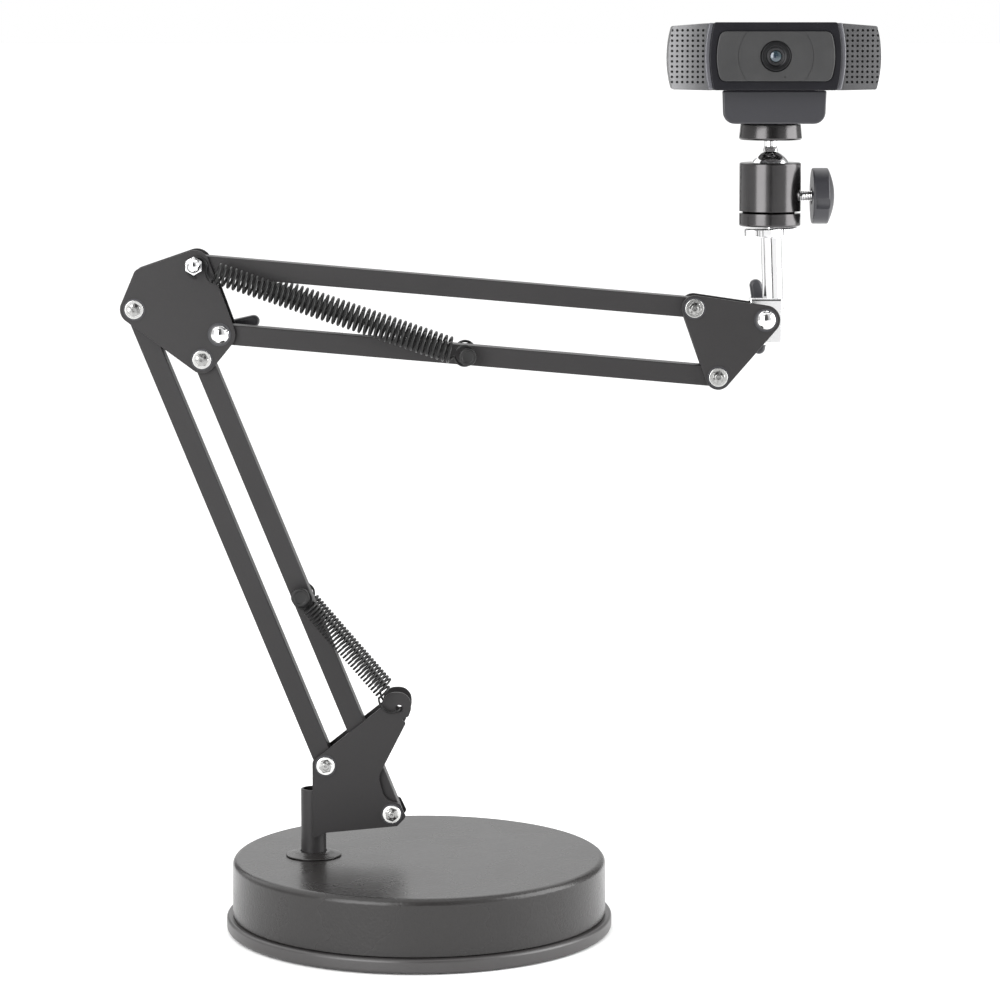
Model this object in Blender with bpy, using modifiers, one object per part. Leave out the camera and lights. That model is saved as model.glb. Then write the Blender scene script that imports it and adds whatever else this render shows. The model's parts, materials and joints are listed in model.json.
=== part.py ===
"""Webcam on a spring-balanced desk arm with a weighted round base.

The arm lies in the XZ plane. The origin is the centre of the base's underside, +Z is up and
the webcam looks along -Y. All lengths are in metres.
"""

import math

import bmesh
import bpy
from mathutils import Matrix, Vector
from mathutils.geometry import convex_hull_2d

MM = 0.001
GAP = 0.3 * MM                      # clearance between pieces that touch

# Base
BASE_RADIUS = 83.5 * MM
BASE_TOP = 32.4 * MM
BASE_EDGE = 3.0 * MM                # round-over of the cover's top edge
COVER_WALL = 1.6 * MM
RIM_RADIUS = 86.3 * MM
RIM_TOP = 6.8 * MM
RIM_INNER = 80.3 * MM
PAD_RADIUS = 80.0 * MM
PAD_THICKNESS = 1.6 * MM
WEIGHT_RADIUS = 79.0 * MM
WEIGHT_THICKNESS = 12.0 * MM
GROMMET_RADIUS = 12.4 * MM

# Arm linkage, as points (x, z) in the arm plane
TUBE_X = -47.3 * MM
TUBE_RADIUS = 5.6 * MM
TUBE_WALL = 1.2 * MM
TUBE_TOP = 63.0 * MM
SHOULDER = Vector((-41.4, 74.6)) * MM            # lower pivot of the outer bar
ARM_LENGTH = 219.5 * MM                          # pivot to pivot, all four bars
LOWER_ANGLE = math.radians(112.07)               # direction of the lower bars from +X
UPPER_ANGLE = math.radians(-4.92)                # direction of the upper bars from +X
LOWER_SPREAD = Vector((29.4, -21.95)) * MM       # from an outer lower pivot to its inner one
ELBOW_RISE = Vector((26.6, 19.4)) * MM           # from the outer elbow pivot to the top bar's
UPPER_SPREAD = Vector((10.6, -30.3)) * MM        # from a top bar pivot to the bottom bar's
HEAD_REACH = Vector((31.3, -5.2)) * MM           # from the top bar's far pivot to the head pivot

BAR = 10.0 * MM                     # depth of the bars along Y
BAR_HEIGHT = 8.8 * MM               # height of the bars in the arm plane
BAR_WALL = 1.2 * MM
PLATE_INNER = 5.9 * MM              # inner face of every bracket plate, from the arm plane
PLATE_THICKNESS = 1.4 * MM
PLATE_OUTER = PLATE_INNER + PLATE_THICKNESS
PIN_RADIUS = 2.0 * MM
WASHER_RADIUS = 4.1 * MM
WASHER_THICKNESS = 0.6 * MM
HEX_RADIUS = 3.0 * MM               # across corners, of the nuts and heads on the pivot bolts
HEX_HEIGHT = 1.3 * MM
STUD_PROUD = 0.3 * MM
HOLE_RADIUS = PIN_RADIUS + GAP

# Springs
LOWER_SPRING_PIN = 106.2 * MM       # along the inner bar, from its lower pivot
EAR = Vector((-8.6, 100.4)) * MM    # hole in the lower bracket's ear
LOWER_COIL_RADIUS = 3.4 * MM        # mean radius
LOWER_WIRE = 0.5 * MM               # wire radius
LOWER_TURNS = 30
UPPER_SPRING_PIN = 109.2 * MM       # along the bottom bar, from its elbow pivot
UPPER_COIL_RADIUS = 4.3 * MM
UPPER_WIRE = 0.6 * MM
UPPER_TURNS = 45
LOOP_SLACK = 1.5 * MM               # from a pin's axis to the centre of the loop that hangs on it
TURN_STEPS = 5                      # points on each turn of a coil

# Head post, ball head and camera plate
POST_RADIUS = 4.6 * MM
POST_LEAN = math.radians(-2.3)      # about +Y, the top leans to -X
HEAD_X = 154.4 * MM                 # axis of the ball head and of the webcam
LOCK_RING = (309.9 * MM, 313.4 * MM)
HOUSING = (314.2 * MM, 342.0 * MM)
HOUSING_RADIUS = 13.5 * MM
BALL_RADIUS = 9.0 * MM
BALL_Z = 338.1 * MM
CAMERA_PLATE = (351.8 * MM, 358.7 * MM)
CAMERA_PLATE_RADIUS = 13.8 * MM
KNOB_Z = 327.4 * MM
KNOB_RADIUS = 12.2 * MM
KNOB_THICKNESS = 9.8 * MM

# Webcam and its clip
CAM_WIDTH = 90.6 * MM
CAM_HEIGHT = 29.0 * MM
CAM_Z = 388.3 * MM
CAM_BACK = -6.0 * MM                # y of the rear shell's back
CAM_SEAM = -24.0 * MM               # y where the front pieces meet the rear shell
GRILLE_FRONT = -27.2 * MM
BEZEL_FRONT = -30.0 * MM
BEZEL_WIDTH = 55.0 * MM
FACE_SIZE = (50.6 * MM, 21.2 * MM)
CLIP_WIDTH = 44.8 * MM
CLIP_BOTTOM = 359.3 * MM
CLIP_TOP = 373.8 * MM
CLIP_FRONT = -22.0 * MM
CLIP_BACK = 20.0 * MM
TILT_AXIS = Vector((HEAD_X, -0.6 * MM, 379.0 * MM))
FOLD_AXIS = Vector((HEAD_X, CLIP_BACK, 367.0 * MM))


def direction(angle):
    """Unit vector at an angle from +X in the arm plane."""
    return Vector((math.cos(angle), math.sin(angle)))


LOWER_RUN = direction(LOWER_ANGLE) * ARM_LENGTH
UPPER_RUN = direction(UPPER_ANGLE) * ARM_LENGTH
PIVOT = {"shoulder_outer": SHOULDER, "shoulder_inner": SHOULDER + LOWER_SPREAD}
PIVOT["elbow_outer"] = SHOULDER + LOWER_RUN
PIVOT["elbow_inner"] = PIVOT["elbow_outer"] + LOWER_SPREAD
PIVOT["elbow_top"] = PIVOT["elbow_outer"] + ELBOW_RISE
PIVOT["elbow_bottom"] = PIVOT["elbow_top"] + UPPER_SPREAD
PIVOT["end_top"] = PIVOT["elbow_top"] + UPPER_RUN
PIVOT["end_bottom"] = PIVOT["elbow_bottom"] + UPPER_RUN
PIVOT["head"] = PIVOT["end_top"] + HEAD_REACH
LOWER_PIN = PIVOT["shoulder_inner"] + direction(LOWER_ANGLE) * LOWER_SPRING_PIN
UPPER_PIN = PIVOT["elbow_bottom"] + direction(UPPER_ANGLE) * UPPER_SPRING_PIN


# ---------------------------------------------------------------- scene helpers

for leftover in list(bpy.data.objects):
    bpy.data.objects.remove(leftover, do_unlink=True)

PARTS = bpy.data.collections.new("webcam_arm")
CUTTERS = bpy.data.collections.new("cutters")
bpy.context.scene.collection.children.link(PARTS)
bpy.context.scene.collection.children.link(CUTTERS)

MATERIALS = {}


def material(name, colour, roughness, metallic=0.0):
    """A Principled material, made once for each name."""
    if name not in MATERIALS:
        made = bpy.data.materials.new(name)
        made.use_nodes = True
        shader = made.node_tree.nodes["Principled BSDF"]
        shader.inputs["Base Color"].default_value = (*colour, 1.0)
        shader.inputs["Roughness"].default_value = roughness
        shader.inputs["Metallic"].default_value = metallic
        MATERIALS[name] = made
    return MATERIALS[name]


def powder_coat():
    return material("grey_powder_coat", (0.045, 0.046, 0.05), 0.55)


def chrome():
    return material("polished_chrome", (0.78, 0.78, 0.8), 0.12, 1.0)


def black_oxide():
    return material("black_oxide", (0.03, 0.03, 0.032), 0.35, 0.8)


def black_plastic():
    return material("black_plastic", (0.02, 0.02, 0.022), 0.45)


def black_anodised():
    return material("black_anodised", (0.015, 0.015, 0.017), 0.22, 0.6)


def gloss_black():
    return material("gloss_black", (0.01, 0.01, 0.012), 0.08)


def put(piece, look, collection=PARTS):
    """Link a piece to a collection with its material."""
    for holder in list(piece.users_collection):
        holder.objects.unlink(piece)
    collection.objects.link(piece)
    if look is not None:
        piece.data.materials.clear()
        piece.data.materials.append(look)
    return piece


def smooth(piece, angle=math.radians(35)):
    piece.data.shade_smooth()
    piece.data.set_sharp_from_angle(angle=angle)
    return piece


def apply_scale(piece):
    piece.data.transform(Matrix.Diagonal((*piece.scale, 1.0)))
    piece.scale = (1, 1, 1)


def box(name, size, centre, look, bevel=0.0, segments=2):
    """A box with rounded edges."""
    bpy.ops.mesh.primitive_cube_add(size=1, location=centre)
    piece = bpy.context.object
    piece.name = name
    piece.scale = size
    apply_scale(piece)
    if bevel:
        rounding = piece.modifiers.new("rounded_edges", "BEVEL")
        rounding.width = bevel
        rounding.segments = segments
        rounding.limit_method = "ANGLE"
    return put(piece, look)


def rod(name, radius, start, end, look, vertices=16):
    """A cylinder between two points."""
    start = Vector(start)
    run = Vector(end) - start
    bpy.ops.mesh.primitive_cylinder_add(vertices=vertices, radius=radius, depth=run.length)
    piece = bpy.context.object
    piece.name = name
    piece.location = start + run / 2
    piece.rotation_euler = run.to_track_quat("Z", "Y").to_euler()
    return put(smooth(piece), look)


def cutter(piece):
    """Hide a shape that only cuts or joins others."""
    put(piece, None, CUTTERS)
    piece.hide_render = True
    piece.display_type = "WIRE"
    return piece


def combine(piece, tool, operation="DIFFERENCE"):
    """Cut a piece with a tool, or join the tool to it."""
    change = piece.modifiers.new(operation.lower() + "_" + tool.name, "BOOLEAN")
    change.operation = operation
    change.solver = "EXACT"
    change.object = tool
    return piece


def turned(name, profile, look, origin=(0, 0, 0), axis=(0, 0, 1), steps=24, closed=False):
    """Turn a profile of (radius, height) points, given top to bottom on its outer side."""
    mesh = bpy.data.meshes.new(name)
    points = [(radius, 0.0, height) for radius, height in profile]
    edges = [(i, i + 1) for i in range(len(points) - 1)]
    if closed:
        edges.append((len(points) - 1, 0))
    mesh.from_pydata(points, edges, [])
    piece = bpy.data.objects.new(name, mesh)
    piece.location = origin
    piece.rotation_euler = Vector(axis).to_track_quat("Z", "Y").to_euler()
    screw = piece.modifiers.new("turn", "SCREW")
    screw.steps = steps
    screw.render_steps = steps
    screw.use_merge_vertices = True
    screw.merge_threshold = 0.00001
    return put(piece, look)


def to_mesh(curve_piece, look):
    """Replace a curve object by a mesh with welded caps."""
    bpy.context.view_layer.update()
    evaluated = curve_piece.evaluated_get(bpy.context.evaluated_depsgraph_get())
    mesh = bpy.data.meshes.new_from_object(evaluated)
    bm = bmesh.new()
    bm.from_mesh(mesh)
    bmesh.ops.remove_doubles(bm, verts=bm.verts, dist=0.000005)
    bm.to_mesh(mesh)
    bm.free()
    name = curve_piece.name
    place = curve_piece.matrix_world.copy()
    bpy.data.objects.remove(curve_piece, do_unlink=True)
    piece = bpy.data.objects.new(name, mesh)
    piece.matrix_world = place
    return put(piece, look)


def add_loop(curve, points):
    """Add a closed spline through 2D points."""
    spline = curve.splines.new("POLY")
    spline.points.add(len(points) - 1)
    for target, (x, y) in zip(spline.points, points):
        target.co = (x, y, 0.0, 1.0)
    spline.use_cyclic_u = True


def flat_shape(name, outlines, y_near, y_far, look, bevel=0.0):
    """A flat piece in the arm plane, from outlines of (x, z) points, between two y values."""
    curve = bpy.data.curves.new(name, "CURVE")
    curve.dimensions = "2D"
    curve.fill_mode = "BOTH"
    curve.extrude = abs(y_far - y_near) / 2
    for outline in outlines:
        add_loop(curve, outline)
    holder = bpy.data.objects.new(name, curve)
    PARTS.objects.link(holder)
    holder.location = (0, (y_near + y_far) / 2, 0)
    holder.rotation_euler = (math.pi / 2, 0, 0)
    piece = to_mesh(holder, look)
    if bevel:
        rounding = piece.modifiers.new("rounded_edges", "BEVEL")
        rounding.width = bevel
        rounding.segments = 1
        rounding.limit_method = "ANGLE"
        rounding.angle_limit = math.radians(60)
    return piece


def circle(centre, radius, steps=10):
    """Points around a circle in the arm plane."""
    return [Vector(centre) + direction(math.tau * i / steps) * radius for i in range(steps)]


def hull_outline(discs, steps=16):
    """Outline of the tightest plate around a set of (centre, radius) discs."""
    points = [p for centre, radius in discs for p in circle(centre, radius, steps)]
    return [points[i] for i in convex_hull_2d(points)]


def rounded_outline(corners, step=math.radians(24)):
    """Outline through (x, z, radius) corners, each corner replaced by its fillet arc."""
    outline = []
    count = len(corners)
    for i, (x, z, radius) in enumerate(corners):
        corner = Vector((x, z))
        before = (Vector(corners[i - 1][:2]) - corner).normalized()
        after = (Vector(corners[(i + 1) % count][:2]) - corner).normalized()
        half = before.angle(after) / 2
        centre = corner + (before + after).normalized() * (radius / math.sin(half))
        start = corner + before * (radius / math.tan(half)) - centre
        sweep = start.angle_signed(corner + after * (radius / math.tan(half)) - centre)
        pieces = max(1, math.ceil(abs(sweep) / step))
        for k in range(pieces + 1):
            outline.append(centre + Matrix.Rotation(-sweep * k / pieces, 2) @ start)
    return outline


def wire(name, points, radius, look):
    """A wire through a list of points."""
    curve = bpy.data.curves.new(name, "CURVE")
    curve.dimensions = "3D"
    curve.bevel_depth = radius
    curve.bevel_resolution = 0
    curve.use_fill_caps = True
    spline = curve.splines.new("POLY")
    spline.points.add(len(points) - 1)
    for target, point in zip(spline.points, points):
        target.co = (*point, 1.0)
    holder = bpy.data.objects.new(name, curve)
    PARTS.objects.link(holder)
    return to_mesh(holder, look)


def in_plane(point, y=0.0):
    """Lift an arm-plane point (x, z) to 3D."""
    return Vector((point[0], y, point[1]))


def carried(name, origin, parent=None):
    """An empty on a joint's axis, which carries the pieces of one moving body."""
    empty = bpy.data.objects.new("axis_" + name, None)
    empty.empty_display_size = 0.01
    PARTS.objects.link(empty)
    empty.location = origin
    bpy.context.view_layer.update()
    return attach(parent, [empty])[0] if parent else empty


def attach(parent, pieces):
    """Parent pieces to an empty and leave them where they are."""
    bpy.context.view_layer.update()
    for piece in pieces:
        piece.parent = parent
        piece.matrix_parent_inverse = parent.matrix_world.inverted()
    bpy.context.view_layer.update()
    return pieces


# ---------------------------------------------------------------- base

def make_base():
    """Weighted base: cover, iron disc, foot rim, underside pad and the tube's grommet."""
    top = BASE_TOP
    wall_foot = RIM_TOP + GAP
    inner = BASE_RADIUS - COVER_WALL
    edge = [(BASE_RADIUS - BASE_EDGE * (1 - math.sin(a)), top - BASE_EDGE * (1 - math.cos(a)))
            for a in (math.radians(d) for d in (0, 30, 60, 90))]
    profile = [(0.0, top), *edge, (BASE_RADIUS, wall_foot), (inner, wall_foot),
               (inner, top - COVER_WALL - BASE_EDGE / 2),
               (inner - BASE_EDGE / 2, top - COVER_WALL), (0.0, top - COVER_WALL)]
    cover = turned("base_cover", profile, powder_coat(), steps=56)
    bore = rod("cover_bore", TUBE_RADIUS + 2 * GAP, (TUBE_X, 0, top - 5 * MM),
               (TUBE_X, 0, top + 5 * MM), None, 24)
    combine(cover, cutter(bore))

    weight_floor = PAD_THICKNESS + GAP
    weight_top = weight_floor + WEIGHT_THICKNESS
    weight = turned("base_weight", [(0.0, weight_top), (WEIGHT_RADIUS - 1 * MM, weight_top),
                                    (WEIGHT_RADIUS, weight_top - 1 * MM),
                                    (WEIGHT_RADIUS, weight_floor), (0.0, weight_floor)],
                    material("cast_iron", (0.09, 0.09, 0.095), 0.7, 0.8), steps=48)
    socket = rod("weight_bore", TUBE_RADIUS + GAP, (TUBE_X, 0, weight_floor + 2 * MM),
                 (TUBE_X, 0, weight_top + 5 * MM), None, 24)
    combine(weight, cutter(socket))

    low, round_edge = 0.5 * MM, 1.6 * MM
    rim_profile = [(RIM_INNER, RIM_TOP), (RIM_RADIUS - round_edge, RIM_TOP),
                   (RIM_RADIUS - round_edge * 0.3, RIM_TOP - round_edge * 0.3),
                   (RIM_RADIUS, RIM_TOP - round_edge), (RIM_RADIUS, low + round_edge),
                   (RIM_RADIUS - round_edge * 0.3, low + round_edge * 0.3),
                   (RIM_RADIUS - round_edge, low), (RIM_INNER, low)]
    turned("base_rim", rim_profile, black_plastic(), steps=56, closed=True)
    turned("base_pad", [(0.0, PAD_THICKNESS), (PAD_RADIUS, PAD_THICKNESS), (PAD_RADIUS, 0.0),
                        (0.0, 0.0)],
           material("foam_rubber", (0.02, 0.02, 0.02), 0.9), steps=48)

    lip = TUBE_RADIUS + GAP
    seat = BASE_TOP + GAP
    turned("base_grommet", [(lip, seat + 3.0 * MM), (lip + 1.6 * MM, seat + 3.0 * MM),
                            (GROMMET_RADIUS - 3.0 * MM, seat + 2.1 * MM),
                            (GROMMET_RADIUS, seat + 0.6 * MM), (GROMMET_RADIUS, seat),
                            (lip, seat)],
           black_plastic(), origin=(TUBE_X, 0, 0), steps=28, closed=True)


# ---------------------------------------------------------------- fasteners

def pivot_bolt(name, point):
    """Pivot bolt: a washer and a hexagon on each side, and the stud's end in the middle."""
    face = PLATE_OUTER + GAP
    washer_face = face + WASHER_THICKNESS
    stud_end = washer_face + HEX_HEIGHT + STUD_PROUD
    half = [(0.0, stud_end), (PIN_RADIUS, stud_end), (PIN_RADIUS, washer_face),
            (WASHER_RADIUS, washer_face), (WASHER_RADIUS, face), (PIN_RADIUS, face)]
    profile = half + [(radius, -height) for radius, height in reversed(half)]
    bolt = turned(name, profile, chrome(), in_plane(point), (0, -1, 0), steps=12)
    sunk = washer_face - WASHER_THICKNESS / 2
    for side in (-1, 1):
        hexagon = rod(f"{name}_hexagon_{side}", HEX_RADIUS, in_plane(point, side * sunk),
                      in_plane(point, side * (washer_face + HEX_HEIGHT)), None, 6)
        combine(bolt, cutter(hexagon), "UNION")
    return bolt


def spring_pin(name, point, collar, head, span):
    """Pin through a bar with a collar for the spring loops and a head at each end."""
    half = [(0.0, span + 1.7 * MM), (head * 0.7, span + 1.3 * MM), (head, span + 0.4 * MM),
            (head, span), (collar, span), (collar, BAR / 2 + GAP), (PIN_RADIUS, BAR / 2 + GAP)]
    profile = half + [(radius, -height) for radius, height in reversed(half)]
    return turned(name, profile, black_oxide(), in_plane(point), (0, -1, 0), steps=12)


def carriage_bolt(name, point):
    """Bolt with a polished dome at the front and a plain shank to the rear."""
    face = PLATE_OUTER + GAP
    profile = [(0.0, face + 2.6 * MM), (2.2 * MM, face + 2.2 * MM), (3.7 * MM, face + 1.2 * MM),
               (4.4 * MM, face), (PIN_RADIUS, face), (PIN_RADIUS, -15.2 * MM), (0.0, -15.2 * MM)]
    return turned(name, profile, chrome(), in_plane(point), (0, -1, 0), steps=14)


def wing_nut(name, point, lobes):
    """Plastic wing nut behind the rear plate, with two swept lobes at the given angles."""
    near = PLATE_OUTER + 2 * GAP
    hub_far = near + 6.2 * MM
    hub = rod(name, 5.0 * MM, in_plane(point, near), in_plane(point, hub_far), black_plastic(), 14)
    for index, angle in enumerate(lobes):
        reach = 17.0 * MM
        middle = in_plane(point + direction(angle) * reach / 2, near + 7.2 * MM)
        lobe = box(f"{name}_lobe_{index}", (reach, 4.4 * MM, 5.4 * MM), middle, None, 1.8 * MM, 1)
        lobe.rotation_euler = (0, -angle, 0)
        combine(hub, cutter(lobe), "UNION")
    bore = rod(f"{name}_bore", HOLE_RADIUS, in_plane(point, near - 5 * MM),
               in_plane(point, near + 15 * MM), None, 10)
    combine(hub, cutter(bore))
    return hub


# ---------------------------------------------------------------- brackets and bars

def plate_pair(name, outline, hole_points, look, ear=None):
    """Front and rear plates of one bracket, with their pivot holes."""
    holes = [circle(point, HOLE_RADIUS) for point in hole_points]
    if ear is not None:
        holes.append(circle(ear, 1.7 * MM, 12))
    made = []
    for label, side in (("front", -1), ("back", 1)):
        near, far = side * PLATE_INNER, side * PLATE_OUTER
        made.append(flat_shape(f"{name}_{label}", [outline, *holes], near, far, look))
    return made


def shoulder_outline():
    """Sheet bracket welded to the tube: a slanted top up to the ear, a hollow right side."""
    left, bottom = TUBE_X, 41.8 * MM
    corners = [(left / MM, bottom / MM, 0.5), (-41.0, 44.2, 0.8), (-9.6, 47.2, 1.4),
               (-5.7, 51.4, 1.4), (-8.4, 57.2, 1.6), (-15.2, 59.6, 6.0), (-18.0, 69.5, 6.0),
               (-5.6, 93.9, 0.8), (-7.6, 95.6, 0.5), (-4.4, 96.9, 0.8), (-3.3, 100.0, 2.0),
               (-3.3, 107.8, 5.6), (-14.9, 107.8, 5.6), (-16.4, 101.0, 1.5),
               (left / MM, 76.6, 2.0)]
    return rounded_outline([(x * MM, z * MM, radius * MM) for x, z, radius in corners])


def bar(name, start, angle, hole_points):
    """Square tube with rounded ends, from one pivot to the next, with its cross holes."""
    run = direction(angle) * ARM_LENGTH
    outline = hull_outline([(start, BAR_HEIGHT / 2), (start + run, BAR_HEIGHT / 2)])
    holes = [circle(point, HOLE_RADIUS) for point in hole_points]
    tube = flat_shape(name, [outline, *holes], -BAR / 2, BAR / 2, powder_coat())
    hollow = box(f"{name}_hollow", (ARM_LENGTH + 2 * BAR, BAR - 2 * BAR_WALL,
                                    BAR_HEIGHT - 2 * BAR_WALL), in_plane(start + run / 2), None)
    hollow.rotation_euler = (0, -angle, 0)
    return combine(tube, cutter(hollow))


# ---------------------------------------------------------------- springs

def coil_points(start, end, radius, turns, phase):
    """Points along a helix between two 3D points, whose axis lies in a plane of constant y."""
    run = end - start
    across = Vector((0, 1, 0)).cross(run.normalized())
    count = turns * TURN_STEPS
    points = []
    for i in range(count + 1):
        angle = phase + math.tau * i / TURN_STEPS
        offset = across * math.cos(angle) + Vector((0, 1, 0)) * math.sin(angle)
        points.append(start + run * (i / count) + offset * radius)
    return points


def arc_points(centre, radius, first, last, steps, y):
    """Points of an arc in a plane of constant y."""
    return [in_plane(centre + direction(first + (last - first) * i / steps) * radius, y)
            for i in range(steps + 1)]


def make_lower_springs():
    """Spring pair from the shoulder bracket's ear to the pin on the inner bar."""
    run = (LOWER_PIN - EAR).normalized()
    y_coil = BAR / 2 + LOWER_COIL_RADIUS + LOWER_WIRE + 0.5 * MM
    coil_start, coil_end = EAR + run * 9.8 * MM, LOWER_PIN - run * 5.6 * MM
    heading = math.atan2(run.y, run.x)
    springs, ends = [], []
    for label, side in (("front", -1), ("back", 1)):
        y = side * y_coil
        hook = [in_plane(EAR, side * 4.8 * MM), in_plane(EAR, side * 8.2 * MM),
                in_plane(EAR + run * 1.2 * MM, y), in_plane(EAR + run * 7.8 * MM, y)]
        coil = coil_points(in_plane(coil_start, y), in_plane(coil_end, y), LOWER_COIL_RADIUS,
                           LOWER_TURNS, 0.0)
        springs.append(wire(f"lower_spring_{label}", hook + coil, LOWER_WIRE, black_oxide()))
        loop = arc_points(LOWER_PIN - run * LOOP_SLACK, 4.1 * MM, heading + math.radians(150),
                          heading - math.radians(160), 10, y)
        ends.append(wire(f"lower_spring_end_{label}", loop, LOWER_WIRE, black_oxide()))
    return springs, ends


def make_upper_springs():
    """Spring pair from the elbow's top bolt to the pin on the bottom bar."""
    hook_point = PIVOT["elbow_top"]
    y_coil = PLATE_OUTER + UPPER_COIL_RADIUS + UPPER_WIRE + GAP
    y_hook = PLATE_OUTER + UPPER_WIRE + 2 * GAP
    coil_start = hook_point + Vector((9.4, -2.9)) * MM
    coil_end = UPPER_PIN - Vector((7.4, -1.85)) * MM
    run = (coil_end - coil_start).normalized()
    heading = math.atan2(run.y, run.x)
    springs, ends = [], []
    for label, side in (("front", -1), ("back", 1)):
        y = side * y_coil
        hook = arc_points(hook_point + Vector((1.0, -1.0)) * MM, 4.4 * MM,
                          heading - math.radians(110), heading - math.radians(330), 9,
                          side * y_hook)
        hook.append(in_plane(coil_start - run * 2.6 * MM, y))
        coil = coil_points(in_plane(coil_start, y), in_plane(coil_end, y), UPPER_COIL_RADIUS,
                           UPPER_TURNS, 0.0)
        springs.append(wire(f"upper_spring_{label}", hook + coil, UPPER_WIRE, black_oxide()))
        loop = arc_points(UPPER_PIN - run * LOOP_SLACK, 4.3 * MM, heading + math.radians(150),
                          heading - math.radians(160), 10, y)
        ends.append(wire(f"upper_spring_end_{label}", loop, UPPER_WIRE, black_oxide()))
    return springs, ends


# ---------------------------------------------------------------- head

def lean_about_head(pieces):
    """Lean pieces to -X about the head pivot."""
    pivot = in_plane(PIVOT["head"])
    turn = (Matrix.Translation(pivot) @ Matrix.Rotation(POST_LEAN, 4, "Y")
            @ Matrix.Translation(-pivot))
    bpy.context.view_layer.update()
    for piece in pieces:
        piece.matrix_world = turn @ piece.matrix_world
    return pieces


def make_post():
    """Chrome knuckle between the end plates with the post that rises from it."""
    head = PIVOT["head"]
    post_x = HEAD_X + 2.1 * MM
    width = 14.6 * MM
    right = post_x + 3.7 * MM
    knuckle = box("head_knuckle", (width, 10.8 * MM, 20.6 * MM),
                  (right - width / 2, 0, head.y - 0.8 * MM), chrome(), 1.2 * MM, 2)
    combine(knuckle, cutter(rod("knuckle_bore", HOLE_RADIUS, in_plane(head, -BAR),
                                in_plane(head, BAR), None, 16)))
    foot = head.y + 5.0 * MM
    spigot = 2.4 * MM
    top = LOCK_RING[1] + 0.3 * MM
    post = turned("head_post", [(0.0, top + 5.0 * MM), (spigot, top + 5.0 * MM), (spigot, top),
                                (spigot, LOCK_RING[0] - GAP), (POST_RADIUS, LOCK_RING[0] - GAP),
                                (POST_RADIUS, foot), (0.0, foot)],
                  chrome(), origin=(post_x, 0, 0), steps=20)
    ring_radius = 12.0 * MM
    low, high = LOCK_RING
    ring = turned("lock_ring", [(spigot + GAP, high), (ring_radius - 0.6 * MM, high),
                                (ring_radius, high - 0.6 * MM), (ring_radius, low + 0.6 * MM),
                                (ring_radius - 0.6 * MM, low), (spigot + GAP, low)],
                  chrome(), origin=(post_x, 0, 0), steps=24, closed=True)
    lean_about_head([post, ring])
    return knuckle, post, ring


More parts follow.
